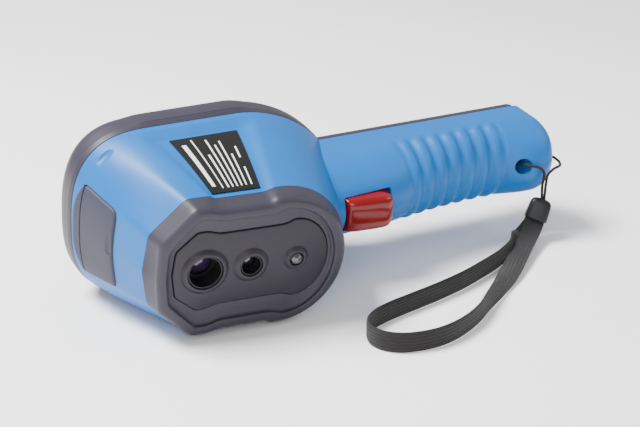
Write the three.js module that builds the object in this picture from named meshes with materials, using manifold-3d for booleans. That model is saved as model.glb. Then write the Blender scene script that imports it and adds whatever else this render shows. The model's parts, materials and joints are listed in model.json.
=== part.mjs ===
// Handheld thermal imaging camera with its wrist strap, lying on its side on a table.
// Units are millimetres. Body frame, before the camera is laid down: x runs from the end face of the
// head (0) to the butt of the handle, y from the lens side to the display side, z across the width.
import * as THREE from 'three';
import { mergeVertices } from 'three/addons/utils/BufferGeometryUtils.js';
import Module from 'manifold-3d';

const wasm = await Module();
wasm.setup();

// ---- driving dimensions -------------------------------------------------------------------
const LENGTH = 232.5;          // head end face to handle butt
const HEAD_HALF = 39;          // half width of the head at the parting line
const HANDLE_HALF = 18.8;      // half width of the handle
const SEAM_Y = 57.7;           // parting line between the front shell and the rear cover
const REAR_Y = 79;             // back of the display housing
const WALL = 2.4;              // shell thickness
const GAP = 0.3;               // clearance where separate pieces meet
const LENS_X = 35.65;          // infrared lens axis, from the head end face
const LENS_PITCH = 19.85;      // spacing of the three front openings
const LENS_TILT = THREE.MathUtils.degToRad(5.3);   // lens panel against the parting line
const BEZEL_BACK = -8.4;       // seat of the bezel on the front shell, below the lens panel plane
const LIE_TILT = THREE.MathUtils.degToRad(8.46);    // roll of the camera as it lies on its side
const TRIGGER_PIN = { x: 114.6, y: 27.5 };
const COVER_HINGE_Y = 50.6;    // groove that the port cover bends along

// ---- materials ----------------------------------------------------------------------------
const finish = (color, roughness, metalness = 0) => new THREE.MeshStandardMaterial({ color, roughness, metalness });
const bluePlastic = finish('#2f9be8', 0.5);
const charcoalPlastic = finish('#4a4650', 0.6);
const charcoalRubber = finish('#4e4c5c', 0.75);
const panelPlastic = finish('#3b3742', 0.55);
const redPlastic = finish('#9c0f12', 0.25);
const blackPlastic = finish('#17161a', 0.45);
const glass = finish('#0b0c10', 0.08);
const clearPlastic = finish('#d8dce0', 0.1);
const germanium = finish('#5b4a62', 0.12, 0.6);
const steel = finish('#a9abb0', 0.3, 1);
const brass = finish('#b79a55', 0.35, 1);
const aluminium = finish('#b9bcc2', 0.35, 1);
const boardGreen = finish('#1f5a3a', 0.6);
const batteryWrap = finish('#2d4f86', 0.5);
const labelFilm = finish('#1c1c16', 0.5);
const webbing = finish('#2a2426', 0.9);

// ---- mesh helpers -------------------------------------------------------------------------
function toManifold(geometry) {
  const bare = geometry.clone();
  bare.deleteAttribute('normal');
  bare.deleteAttribute('uv');
  const welded = mergeVertices(bare, 1e-4);
  return new wasm.Manifold(new wasm.Mesh({
    numProp: 3,
    vertProperties: new Float32Array(welded.attributes.position.array),
    triVerts: new Uint32Array(welded.index.array),
  }));
}

function toGeometry(manifold) {
  const mesh = manifold.getMesh();
  const geometry = new THREE.BufferGeometry();
  geometry.setAttribute('position', new THREE.BufferAttribute(new Float32Array(mesh.vertProperties), 3));
  geometry.setIndex(new THREE.BufferAttribute(new Uint32Array(mesh.triVerts), 1));
  return geometry;
}

function subtract(base, ...tools) {
  let result = toManifold(base);
  for (const tool of tools) result = result.subtract(toManifold(tool));
  return toGeometry(result);
}

function unite(base, ...others) {
  let result = toManifold(base);
  for (const other of others) result = result.add(toManifold(other));
  return toGeometry(result);
}

function intersect(base, tool) {
  return toGeometry(toManifold(base).intersect(toManifold(tool)));
}

// A skin through rings of equal count. An open loft is closed by a fan at each end,
// a looped one joins its last ring to its first.
function loft(rings, looped = false) {
  const count = rings[0].length;
  const vertices = rings.flat();
  const triangles = [];
  const bands = looped ? rings.length : rings.length - 1;
  for (let ring = 0; ring < bands; ring += 1) {
    const here = ring * count;
    const next = ((ring + 1) % rings.length) * count;
    for (let i = 0; i < count; i += 1) {
      const j = (i + 1) % count;
      triangles.push(here + i, here + j, next + j, here + i, next + j, next + i);
    }
  }
  if (!looped) {
    const capEnd = (start, flip) => {
      const centre = new THREE.Vector3();
      for (let i = 0; i < count; i += 1) centre.add(vertices[start + i]);
      vertices.push(centre.divideScalar(count));
      const hub = vertices.length - 1;
      for (let i = 0; i < count; i += 1) {
        const j = (i + 1) % count;
        if (flip) triangles.push(hub, start + j, start + i);
        else triangles.push(hub, start + i, start + j);
      }
    };
    capEnd(0, true);
    capEnd((rings.length - 1) * count, false);
  }
  const geometry = new THREE.BufferGeometry();
  const flat = vertices.flatMap((v) => [v.x, v.y, v.z]);
  geometry.setAttribute('position', new THREE.Float32BufferAttribute(flat, 3));
  geometry.setIndex(triangles);
  return outward(geometry);
}

// Turns a closed mesh right side out.
function outward(geometry) {
  const p = geometry.attributes.position;
  const index = geometry.index.array;
  const [a, b, c] = [new THREE.Vector3(), new THREE.Vector3(), new THREE.Vector3()];
  let volume = 0;
  for (let i = 0; i < index.length; i += 3) {
    a.fromBufferAttribute(p, index[i]);
    b.fromBufferAttribute(p, index[i + 1]);
    c.fromBufferAttribute(p, index[i + 2]);
    volume += a.dot(b.cross(c));
  }
  if (volume < 0) {
    for (let i = 0; i < index.length; i += 3) [index[i + 1], index[i + 2]] = [index[i + 2], index[i + 1]];
  }
  return geometry;
}

function box(x0, x1, y0, y1, z0, z1) {
  const geometry = new THREE.BoxGeometry(x1 - x0, y1 - y0, z1 - z0);
  return geometry.translate((x0 + x1) / 2, (y0 + y1) / 2, (z0 + z1) / 2);
}

// Turns a shape whose axis is +Y into one whose axis points along `direction`, and moves it to `origin`.
function aim(geometry, origin, direction) {
  const turn = new THREE.Quaternion().setFromUnitVectors(new THREE.Vector3(0, 1, 0), direction.clone().normalize());
  return geometry.applyQuaternion(turn).translate(origin.x, origin.y, origin.z);
}

function rod(from, to, radius, sides = 24) {
  const span = to.clone().sub(from);
  const geometry = new THREE.CylinderGeometry(radius, radius, span.length(), sides).translate(0, span.length() / 2, 0);
  return aim(geometry, from, span);
}

function lathe(profile, sides = 32) {
  const geometry = new THREE.LatheGeometry(profile.map(([r, h]) => new THREE.Vector2(r, h)), sides);
  geometry.deleteAttribute('normal');
  geometry.deleteAttribute('uv');
  const welded = mergeVertices(geometry, 1e-4);
  return outward(dropSlivers(welded));
}

function dropSlivers(geometry) {
  const kept = [];
  const index = geometry.index.array;
  for (let i = 0; i < index.length; i += 3) {
    const [a, b, c] = [index[i], index[i + 1], index[i + 2]];
    if (a !== b && b !== c && c !== a) kept.push(a, b, c);
  }
  geometry.setIndex(kept);
  return geometry;
}

function prism(outline, depth) {
  const shape = new THREE.Shape(outline.map(([x, y]) => new THREE.Vector2(x, y)));
  return new THREE.ExtrudeGeometry(shape, { depth, bevelEnabled: false });
}

const lerp = THREE.MathUtils.lerp;
const vec = (x, y, z) => new THREE.Vector3(x, y, z);

// ---- the lens panel's own frame: u along the panel, z across, h out towards the front --------
const PANEL_ALONG = vec(Math.cos(LENS_TILT), -Math.sin(LENS_TILT), 0);
const PANEL_OUT = vec(-Math.sin(LENS_TILT), -Math.cos(LENS_TILT), 0);

function onPanel(u, z, h) {
  return vec(LENS_X, 0, z).addScaledVector(PANEL_ALONG, u).addScaledVector(PANEL_OUT, h);
}

// Outlines around the lenses. Each is a flat-sided end with two chamfers, long sides with a shallow
// waist, and a round end towards the handle.
const CREASE = { left: -19.4, lowU: -18.4, lowZ: 15.5, topU: -4.8, top: 28.2, waist: 26.7,
  waistU: [1.1, 6.1, 27, 30], roundU: 33, round: 27.2 };
const BASE = { left: -24.2, lowU: -21.8, lowZ: 16.3, topU: -6.6, top: 30.5, waist: 29.1,
  waistU: [3.4, 5.3, 27.2, 31.3], roundU: 34, round: 30.1 };
const LIP_IN = { left: -16.7, lowU: -15.6, lowZ: 12.3, topU: -4, top: 24.9, waist: 23.2,
  waistU: [1.9, 6.5, 28.4, 34.3], roundU: 34.5, round: 21.9 };
const GROOVE = { left: -14, lowU: -12.6, lowZ: 10.6, topU: -3.4, top: 18.5, waist: 16.8,
  waistU: [1.4, 6.1, 34.5, 38.7], roundU: 39, round: 15.4 };

function grown(outline, by) {
  return {
    left: outline.left - by, lowU: outline.lowU - by * 0.92, lowZ: outline.lowZ + by * 0.4,
    topU: outline.topU - by * 0.4, top: outline.top + by, waist: outline.waist + by,
    waistU: outline.waistU, roundU: outline.roundU, round: outline.round + by,
  };
}

function between(a, b, t) {
  const mixed = {};
  for (const key of Object.keys(a)) {
    mixed[key] = Array.isArray(a[key]) ? a[key].map((v, i) => lerp(v, b[key][i], t)) : lerp(a[key], b[key], t);
  }
  return mixed;
}

const EDGE_STEPS = [3, 3, 2, 1, 4, 1, 1];   // points along each straight stretch of an outline's half
const ROUND_STEPS = 9;                      // and around its round end

// Upper half of a panel outline as [u, z] pairs, from the flat end to the tip of the round end.
function panelHalf(o) {
  const corners = [[o.left, 0], [o.lowU, o.lowZ], [o.topU, o.top], [o.waistU[0], o.top], [o.waistU[1], o.waist],
    [o.waistU[2], o.waist], [o.waistU[3], o.top], [o.roundU, o.top]];
  const half = [];
  EDGE_STEPS.forEach((steps, edge) => {
    for (let i = 0; i < steps; i += 1) {
      half.push([0, 1].map((axis) => lerp(corners[edge][axis], corners[edge + 1][axis], i / steps)));
    }
  });
  for (let i = 0; i <= ROUND_STEPS; i += 1) {
    const angle = (Math.PI / 2) * (1 - i / ROUND_STEPS);
    half.push([o.roundU + o.round * Math.cos(angle), o.top * Math.sin(angle)]);
  }
  return half;
}

// Full ring from an upper half: the half, then its mirror image without the two shared ends.
function mirrored(half) {
  return half.concat(half.slice(1, -1).reverse().map(([a, z]) => [a, -z]));
}

const panelRing = (o, h) => mirrored(panelHalf(o)).map(([u, z]) => onPanel(u, z, h));

// ---- the head -----------------------------------------------------------------------------
const LEFT_REACH = 34;         // length of the rounded top corner of the head outline
const RIGHT_START = 75;        // where the shoulder towards the handle begins
const RIGHT_REACH = 50.2;
const LEFT_POWER = 2.7;
const RIGHT_POWER = 1.8;

// Upper half of the head's outline at the parting line, point for point with a panel outline.
function seamHalf(inset) {
  const b = HEAD_HALF - inset;
  const leftPoint = (angle) => {
    const c = Math.cos(angle) ** (2 / LEFT_POWER);
    const s = Math.sin(angle) ** (2 / LEFT_POWER);
    return [LEFT_REACH - (LEFT_REACH - inset) * c, b * s];
  };
  const rightZ = (x) => b * (1 - ((x - RIGHT_START) / (RIGHT_REACH - inset)) ** RIGHT_POWER) ** (1 / RIGHT_POWER);
  const half = [];
  for (let i = 0; i < EDGE_STEPS[0]; i += 1) half.push(leftPoint(lerp(0, 0.42, i / EDGE_STEPS[0])));
  for (let i = 0; i < EDGE_STEPS[1]; i += 1) half.push(leftPoint(lerp(0.42, 1.05, i / EDGE_STEPS[1])));
  const first = leftPoint(1.05)[0];
  const stops = [first, 26, 33, 76, 82, 86];
  for (let edge = 0; edge < 5; edge += 1) {
    for (let i = 0; i < EDGE_STEPS[edge + 2]; i += 1) {
      const x = lerp(stops[edge], stops[edge + 1], i / EDGE_STEPS[edge + 2]);
      const z = x < LEFT_REACH
        ? b * (1 - ((LEFT_REACH - x) / (LEFT_REACH - inset)) ** LEFT_POWER) ** (1 / LEFT_POWER)
        : x > RIGHT_START ? rightZ(x) : b;
      half.push([x, z]);
    }
  }
  const start = Math.acos((11 / (RIGHT_REACH - inset)) ** (RIGHT_POWER / 2));
  for (let i = 0; i <= ROUND_STEPS; i += 1) {
    const angle = start * (1 - i / ROUND_STEPS);
    half.push([RIGHT_START + (RIGHT_REACH - inset) * Math.cos(angle) ** (2 / RIGHT_POWER),
      b * Math.sin(angle) ** (2 / RIGHT_POWER)]);
  }
  return half;
}

const RECESS_FROM = 9;         // first and last outline point on the floor of the label recess
const RECESS_TO = 13;
const RECESS_DEPTH = [[0, 1.4], [0.84, 2.3], [0.93, 0], [1, 0]];

function recessAt(t) {
  const next = RECESS_DEPTH.findIndex(([at]) => at >= t);
  if (next === 0) return RECESS_DEPTH[0][1];
  const [a, b] = [RECESS_DEPTH[next - 1], RECESS_DEPTH[next]];
  return lerp(a[1], b[1], (t - a[0]) / (b[0] - a[0]));
}

// Skin of the head from the bezel seat (t = 0) to the parting line (t = 1). The sides swell early.
function headRing(t, inset) {
  const front = panelHalf(grown(BASE, -inset));
  const rear = seamHalf(inset);
  const swell = 1 - (1 - t) ** 1.7;
  const waistDrop = BASE.top - BASE.waist;
  const half = front.map(([u, z], i) => {
    const from = onPanel(u, z, BEZEL_BACK);
    const onFloor = i >= RECESS_FROM && i <= RECESS_TO;
    const extra = onFloor ? recessAt(t) - (1 - swell) * waistDrop : 0;
    return vec(lerp(from.x, rear[i][0], t), lerp(from.y, SEAM_Y, t), lerp(z, rear[i][1], swell) - extra);
  });
  const lower = half.slice(1, -1).reverse().map((p) => vec(p.x, p.y, -p.z));
  return half.concat(lower);
}

const HEAD_STATIONS = [0, 0.2, 0.45, 0.68, 0.84, 0.93, 1];

function pushed(ring, dy) {
  return ring.map((p) => vec(p.x, p.y + dy, p.z));
}

// ---- the handle ---------------------------------------------------------------------------
// Depth of the front of the handle along its length, as [x, y].
const HANDLE_FRONT = [[96, 18], [116, 19.5], [136, 21.1], [147, 23.8], [158, 26.5], [168, 28.7], [180, 30.6],
  [198, 32.3], [204, 32.2], [209, 29], [214, 26.6], [219, 25.6], [LENGTH, 25.8]];
const SECTION_BACK = 46;       // the sides are straight behind this depth and elliptical before it
const RIB_FIRST = 152.3;
const RIB_PITCH = 8.05;
const RIB_COUNT = 7;
const RIB_RISE = 0.7;
const CORNER_X = 223.9;        // where the butt begins at the parting line

function handleFront(x) {
  const next = Math.max(1, HANDLE_FRONT.findIndex(([at]) => at >= x));
  const [a, b] = [HANDLE_FRONT[next - 1], HANDLE_FRONT[next]];
  return lerp(a[1], b[1], (x - a[0]) / (b[0] - a[0]));
}

const SECTION_STEPS = 10;

// One cross-section of the handle. `grow` is positive on a rib; `inset` shrinks it for the cavity.
function handleSection(x, { inset = 0, grow = 0, back = SEAM_Y, squeeze = 0 }) {
  const half = (HANDLE_HALF - inset) * (1 - squeeze);
  const reach = SECTION_BACK - handleFront(x) - inset;
  const upper = [[back, 0], [back, half], [SECTION_BACK, half]];
  for (let i = 1; i <= SECTION_STEPS; i += 1) {
    const angle = (Math.PI / 2) * (i / SECTION_STEPS);
    const ridge = grow * Math.sin(angle);
    upper.push([SECTION_BACK - (reach + ridge) * Math.sin(angle), (half + ridge) * Math.cos(angle)]);
  }
  return mirrored(upper).map(([y, z]) => vec(x, y, z));
}

// The butt: each section leans so that its front starts earlier, and shrinks towards the tip.
function buttRing(step) {
  const angle = (Math.PI / 2) * step;
  const squeeze = 1 - Math.cos(angle) ** 0.55;
  const ring = handleSection(LENGTH, { squeeze });
  const span = SEAM_Y - 25.8;
  return ring.map((p) => {
    const lean = (SEAM_Y - p.y) / span;
    const startX = CORNER_X - 2.2 * lean;
    const tipX = 229.4 + 3.1 * Math.sin(Math.PI * Math.min(1, 0.1 + lean * 0.7));
    const y = lerp(p.y, 42, squeeze * 0.9 * Math.max(0, lean));
    return vec(lerp(startX, tipX, Math.sin(angle)), y, p.z);
  });
}

function handleSolid() {
  const rings = [];
  for (const x of [96, 106, 116, 126, 136, 147]) rings.push(handleSection(x, {}));
  for (let rib = 0; rib < RIB_COUNT; rib += 1) {
    const x = RIB_FIRST + rib * RIB_PITCH;
    rings.push(handleSection(x - 3, { grow: -RIB_RISE }));
    rings.push(handleSection(x, { grow: RIB_RISE }));
    rings.push(handleSection(x + 1.6, { grow: -RIB_RISE * 0.6 }));
  }
  for (const x of [206, 209, 214, 219]) rings.push(handleSection(x, {}));
  for (const step of [0, 0.25, 0.5, 0.72, 0.9]) rings.push(buttRing(step));
  return loft(rings);
}

function handleCavity() {
  const end = 203;
  const rings = [92, 116, 136, 158, 180, end].map((x) => handleSection(Math.max(96, x), { inset: WALL, back: SEAM_Y + 4 })
    .map((p) => vec(x, p.y, p.z)));
  return unite(loft(rings), box(198, 221, 44, SEAM_Y + 4, -14, 14));
}

// ---- front shell --------------------------------------------------------------------------
const HOLE_RADIUS = [7.6, 4.8, 3.05];
const LANYARD = { x: 211.9, z: 2.2, radius: 3.9, bottom: 41, exitY: 38.2, exitZ: 0.5, exitRadius: 2.7 };

function portOpening() {
  return box(-3, 14, 33, 48, -14.4, 17);
}

function lanyardPassage() {
  const mouth = rod(vec(LANYARD.x, 14, LANYARD.z), vec(LANYARD.x, LANYARD.bottom, LANYARD.z), LANYARD.radius, 20);
  const start = vec(LANYARD.x - 1, LANYARD.exitY, LANYARD.exitZ);
  return unite(mouth, rod(start, vec(LENGTH + 4, LANYARD.exitY, LANYARD.exitZ), LANYARD.exitRadius, 20));
}

function triggerSlot() {
  return box(111.2, 136.2, 4, 34, -8.5, 8.5);
}

// Thumb scoop on the rounded corner, on both sides of the head.
function thumbScoop(side) {
  const ball = new THREE.SphereGeometry(1, 24, 12);
  ball.scale(11, 3, 2.4);
  ball.rotateZ(THREE.MathUtils.degToRad(-12));
  ball.rotateX(THREE.MathUtils.degToRad(-48 * side));
  return ball.translate(10.6, 50.2, side * 32.6);
}

function pinHole(radius) {
  return rod(vec(TRIGGER_PIN.x, TRIGGER_PIN.y, -11.3), vec(TRIGGER_PIN.x, TRIGGER_PIN.y, 11.3), radius, 16);
}

// Ears that carry the trigger pin, and posts that the cover screws bite into, each on a web to the wall.
function shellSupports() {
  const ears = [1, -1].map((side) => box(110.5, 118.7, 20, 33, side > 0 ? 9 : -18, side > 0 ? 18 : -9));
  const posts = [];
  for (const [x, z] of SCREWS) {
    const side = Math.sign(z);
    const foot = x < 120 ? 49.6 : x < 200 ? 53.4 : 43;
    const wall = x < 120 ? 38.5 : 18;
    posts.push(rod(vec(x, foot, z), vec(x, SEAM_Y, z), 3.2, 16));
    posts.push(box(x - 1.5, x + 1.5, foot, SEAM_Y, side > 0 ? z : -wall, side > 0 ? wall : z));
  }
  return unite(ears[0], ears[1], ...posts);
}

function frontShell() {
  const outer = unite(loft(HEAD_STATIONS.map((t) => headRing(t, 0))), handleSolid());
  const innerRings = [pushed(headRing(0, WALL), WALL)];
  for (const t of HEAD_STATIONS.slice(1, -1)) innerRings.push(headRing(t, WALL));
  innerRings.push(pushed(headRing(1, WALL), 4));
  const cavity = unite(loft(innerRings), handleCavity());
  const mouth = loft([panelRing(grown(GROOVE, 2.5), 6), panelRing(grown(GROOVE, 2.5), BEZEL_BACK - 6)]);
  const walls = unite(subtract(outer, cavity), intersect(shellSupports(), outer));
  const shanks = SCREWS.map(([x, z]) => rod(vec(x, SCREW_TIP_Y, z), vec(x, REAR_Y, z), 1.3, 12));
  return subtract(walls, mouth, portOpening(), coverSeat(), triggerSlot(), lanyardPassage(), pinHole(1.5),
    thumbScoop(1), thumbScoop(-1), ...shanks);
}

// ---- rear cover ---------------------------------------------------------------------------
const DISPLAY = { x0: 16.5, x1: 83.5, half: 25.2, corner: 6 };
const KEYS = [
  { name: 'button_up', x: 91.4, z: 0, wide: 3.4, tall: 2.3 },
  { name: 'button_down', x: 107.4, z: 0, wide: 3.4, tall: 2.3 },
  { name: 'button_left', x: 99.4, z: 9.2, wide: 2.3, tall: 3.4 },
  { name: 'button_right', x: 99.4, z: -9.2, wide: 2.3, tall: 3.4 },
  { name: 'button_ok', x: 99.4, z: 0, wide: 3.3, tall: 3.3 },
  { name: 'button_power', x: 134, z: 0, wide: 4.2, tall: 4.2 },
];
const CROWN_Y = 70;            // back of the handle cover
const SCREWS = [[89.5, 21], [89.5, -21], [150, 11.5], [150, -11.5], [217, 11.5], [217, -11.5]];
const SCREW_TIP_Y = 50.4;

// Outline of the display housing: the head outline with its side walls standing a little proud.
function backRing(y, inset, proud) {
  const half = seamHalf(inset);
  const raised = half.map(([x, z]) => [x, z + (x > 30 && x < 80 && z > 20 ? proud : 0)]);
  return mirrored(raised).map(([x, z]) => vec(x, y, z));
}

function crownSection(x, inset, squeeze) {
  const half = (HANDLE_HALF - inset) * (1 - squeeze);
  const rise = (CROWN_Y - SEAM_Y - 0.7 - inset) * (1 - squeeze * 0.4);
  const base = SEAM_Y + GAP;
  const upper = [[base, 0], [base, half], [base + 0.4, half]];
  for (let i = 1; i <= 7; i += 1) {
    const angle = (Math.PI / 2) * (i / 7);
    upper.push([base + 0.4 + rise * Math.sin(angle), half * Math.cos(angle) ** 0.9]);
  }
  return mirrored(upper).map(([y, z]) => vec(x, y, z));
}

function crown(inset) {
  const end = inset > 0 ? 218 : CORNER_X - 1.2;
  const rings = [96, 150, end].map((x) => crownSection(x, inset, 0));
  if (inset === 0) {
    rings.push(crownSection(CORNER_X + 1.6, inset, 0.1));
    rings.push(crownSection(CORNER_X + 3, inset, 0.3));
  }
  return loft(inset > 0 ? rings.map((ring) => ring.map((p) => vec(p.x, p.y < SEAM_Y + 2 ? p.y - 3 : p.y, p.z))) : rings);
}

function roundedSlab(x0, x1, half, y0, y1, radius) {
  const shape = new THREE.Shape();
  shape.moveTo(x0 + radius, -half);
  shape.lineTo(x1 - radius, -half);
  shape.absarc(x1 - radius, -half + radius, radius, -Math.PI / 2, 0, false);
  shape.lineTo(x1, half - radius);
  shape.absarc(x1 - radius, half - radius, radius, 0, Math.PI / 2, false);
  shape.lineTo(x0 + radius, half);
  shape.absarc(x0 + radius, half - radius, radius, Math.PI / 2, Math.PI, false);
  shape.lineTo(x0, -half + radius);
  shape.absarc(x0 + radius, -half + radius, radius, Math.PI, Math.PI * 1.5, false);
  const slab = new THREE.ExtrudeGeometry(shape, { depth: y1 - y0, bevelEnabled: false, curveSegments: 5 });
  return slab.rotateX(Math.PI / 2).translate(0, y1, 0);
}

function keyPlug(key, grow, y0, y1) {
  const plug = new THREE.CylinderGeometry(1, 1, y1 - y0, 20).scale(key.wide + grow, 1, key.tall + grow);
  return plug.translate(key.x, (y0 + y1) / 2, key.z);
}

function keyTop(key) {
  return key.name === 'button_power' ? CROWN_Y : REAR_Y;
}

function rearCover() {
  const base = SEAM_Y + GAP;
  const outer = loft([backRing(base, 0, 0), backRing(base + 3, -0.6, 0.9), backRing(67, -0.6, 0.9), backRing(71, 0.9, 0.9),
    backRing(75.5, 4, 0.4), backRing(78.2, 8, 0.2), backRing(REAR_Y, 10, 0)]);
  const inner = loft([backRing(base - 2, WALL, 0), backRing(67, WALL, 0), backRing(72, WALL + 2, 0),
    backRing(REAR_Y - WALL, 10.5, 0)]);
  const window = roundedSlab(DISPLAY.x0, DISPLAY.x1, DISPLAY.half, REAR_Y - 1.6, REAR_Y + 2, DISPLAY.corner);
  const sight = roundedSlab(DISPLAY.x0 + 4, DISPLAY.x1 - 4, DISPLAY.half - 3, REAR_Y - 6, REAR_Y + 2, 1.5);
  const holes = KEYS.map((key) => keyPlug(key, 0.35, keyTop(key) - 8, keyTop(key) + 3));
  const wells = SCREWS.map(([x, z]) => {
    const top = x < 120 ? REAR_Y : CROWN_Y;
    return rod(vec(x, top - 3.4, z), vec(x, top + 4, z), 2.9, 20);
  });
  const shanks = SCREWS.map(([x, z]) => rod(vec(x, SEAM_Y - 4, z), vec(x, REAR_Y, z), 1.5, 12));
  const posts = SCREWS.map(([x, z]) => rod(vec(x, base, z), vec(x, (x < 120 ? REAR_Y : CROWN_Y) - 2, z), 3.6, 20));
  const hollow = subtract(unite(outer, crown(0)), unite(inner, crown(WALL)));
  const shell = unite(hollow, ...posts.map((post) => intersect(post, unite(outer, crown(0)))));
  return subtract(shell, window, sight, ...holes, ...wells, ...shanks);
}

// ---- lens bezel and panel -----------------------------------------------------------------
const DISH_DEPTH = -1.9;       // bottom of the dish inside the lip
const PANEL_FACE = -1.2;       // face of the lens panel
const PANEL_BACK = -4.6;

function lensBezel() {
  const seat = BEZEL_BACK + GAP;
  const rings = [
    panelRing(BASE, seat),
    panelRing(between(BASE, grown(CREASE, 1.6), 0.85), -2.6),
    panelRing(grown(CREASE, 1.3), -0.6),
    panelRing(grown(CREASE, 0.2), 0.9),
    panelRing(between(CREASE, LIP_IN, 0.45), 1.3),
    panelRing(grown(LIP_IN, 0.4), 0.8),
    panelRing(LIP_IN, -0.3),
    panelRing(grown(LIP_IN, -0.8), -0.9),
    panelRing(GROOVE, DISH_DEPTH),
    panelRing(GROOVE, PANEL_BACK),
    panelRing(grown(GROOVE, 2), PANEL_BACK - 0.4),
    panelRing(grown(LIP_IN, -0.4), seat),
  ];
  return loft(rings, true);
}

const BOSS_RADIUS = [10, 7.6, 5.3];

function lensBoss(index) {
  const outer = BOSS_RADIUS[index];
  const inner = HOLE_RADIUS[index];
  const profile = [[0, -1], [outer, -1], [outer, 0.05], [lerp(outer, inner, 0.45), 1.1], [inner + 0.5, 1.6], [0, 1.6]];
  return aim(lathe(profile, 36), onPanel(index * LENS_PITCH, 0, PANEL_FACE), PANEL_OUT);
}

function lensPanel() {
  const edge = grown(GROOVE, -GAP);
  const plate = loft([panelRing(edge, PANEL_BACK), panelRing(edge, PANEL_FACE - 0.5),
    panelRing(grown(edge, -0.5), PANEL_FACE)]);
  const bosses = [0, 1, 2].map(lensBoss);
  const holes = HOLE_RADIUS.map((radius, i) => rod(onPanel(i * LENS_PITCH, 0, -9), onPanel(i * LENS_PITCH, 0, 6), radius, 36));
  return subtract(unite(plate, ...bosses), ...holes);
}

// A stepped tube behind an opening: outer radius, then [inner radius, depth] steps from the front.
function steppedBarrel(index, outer, front, steps, back, sides = 32) {
  const profile = [[outer, back], [outer, front]];
  let depth = front;
  for (const [radius, down] of steps) {
    profile.push([radius, depth]);
    depth -= down;
    profile.push([radius, depth]);
  }
  profile.push([steps.at(-1)[0], back]);
  profile.push([outer, back]);
  const clean = profile.filter((p, i) => i === 0 || p[0] !== profile[i - 1][0] || p[1] !== profile[i - 1][1]);
  return aim(lathe(clean, sides), onPanel(index * LENS_PITCH, 0, 0), PANEL_OUT);
}

function lensDisc(index, radius, crownHeight, h, thick) {
  const profile = [[0, h - thick], [radius, h - thick], [radius, h - crownHeight], [radius * 0.7, h - crownHeight * 0.45],
    [radius * 0.35, h - crownHeight * 0.1], [0, h]];
  return aim(lathe(profile, 28), onPanel(index * LENS_PITCH, 0, 0), PANEL_OUT);
}

function panelBox(u0, u1, h0, h1, z0, z1) {
  const geometry = box(u0, u1, h0, h1, z0, z1);
  const frame = new THREE.Matrix4().makeBasis(PANEL_ALONG, PANEL_OUT.clone().negate(), vec(0, 0, 1));
  frame.setPosition(LENS_X, 0, 0);
  return geometry.applyMatrix4(frame);
}

// ---- port cover on the end face -------------------------------------------------------------
// The cover's edges: its front edge, its slanted sides and its bowed rear edge.
const COVER = { frontY: 29.6, frontZ: 17.6, sideY: 51.2, sideZ: 20.8, rearY: 55.3 };
const END_FRONT_Y = headRing(0, 0)[0].y;

// How far in the end face lies at a given depth and width.
function endX(y, z) {
  const ring = headRing(THREE.MathUtils.clamp((y - END_FRONT_Y) / (SEAM_Y - END_FRONT_Y), 0, 1), 0);
  const next = Math.max(1, ring.findIndex((p) => p.z >= Math.abs(z)));
  const [a, b] = [ring[next - 1], ring[next]];
  return lerp(a.x, b.x, (Math.abs(z) - a.z) / (b.z - a.z));
}

// A plate lying along the end face, from `under` below the skin to `over` above it.
function endPlate(grow, under, over, fromY = 0, toY = 90) {
  const reach = COVER.sideZ + grow - 0.6;
  const rings = [];
  for (let i = 0; i <= 12; i += 1) {
    const z = lerp(-reach, reach, i / 12);
    const slant = Math.max(0, (Math.abs(z) - COVER.frontZ - grow) / (COVER.sideZ - COVER.frontZ));
    const front = Math.max(fromY, COVER.frontY - grow + slant * (COVER.sideY - COVER.frontY));
    const rear = Math.min(toY, COVER.sideY + grow + (COVER.rearY - COVER.sideY) * (1 - (z / (reach + 0.4)) ** 2));
    const depths = [front, lerp(front, rear, 0.5), rear];
    const skin = (y, lift) => vec(endX(y, Math.min(Math.abs(z), 20.5)) + lift, y, z);
    rings.push([...depths.map((y) => skin(y, -over)), ...depths.reverse().map((y) => skin(y, under))]);
  }
  return loft(rings);
}

const portCover = () => endPlate(0, 1, 0.8, 0, COVER_HINGE_Y - 0.15);
const portCoverRoot = () => endPlate(0, 1, 0.8, COVER_HINGE_Y + 0.35);
const coverSeat = () => endPlate(0.4, 1.35, 6);

function hollowBox(outer, pocket) {
  return subtract(box(...outer), box(...pocket));
}

// ---- trigger ------------------------------------------------------------------------------
function triggerBody() {
  const side = [[111.6, 24.4], [112.6, 19.2], [116, 17.2], [124, 16.6], [130, 15.8], [133.4, 16.8], [134.6, 20], [134.4, 30],
    [126, 32], [113, 32], [111.6, 30]];
  const slab = prism(side, 16.2).translate(0, 0, -8.1);
  const round = [];
  for (const [x, front, half] of [[109, 16.6, 8], [116, 15.6, 8], [126, 14.6, 8], [131, 13.8, 8], [136, 14.6, 7.8]]) {
    const ring = [[36, half], [front + 6, half], [front + 3.2, half - 0.9], [front + 1.4, half - 2.6], [front + 0.6, 3.2]];
    round.push(ring.concat(ring.map(([y, z]) => [y, -z]).reverse()).map(([y, z]) => vec(x, y, z)));
  }
  return subtract(intersect(slab, loft(round)), pinHole(1.5));
}

class Helix extends THREE.Curve {
  constructor(radius, pitch, turns, start) {
    super();
    Object.assign(this, { radius, pitch, turns, start });
  }

  getPoint(t, target = new THREE.Vector3()) {
    const angle = t * this.turns * Math.PI * 2;
    return target.set(this.start.x + this.radius * Math.cos(angle), this.start.y + this.pitch * this.turns * t,
      this.start.z + this.radius * Math.sin(angle));
  }
}

function springCoil(start, radius, wire, pitch, turns) {
  const section = new THREE.Shape();
  section.absarc(0, 0, wire / 2, 0, Math.PI * 2);
  const coil = new THREE.ExtrudeGeometry(section, { steps: turns * 10, extrudePath: new Helix(radius, pitch, turns, start),
    curveSegments: 3, bevelEnabled: false });
  return coil;
}

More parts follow.
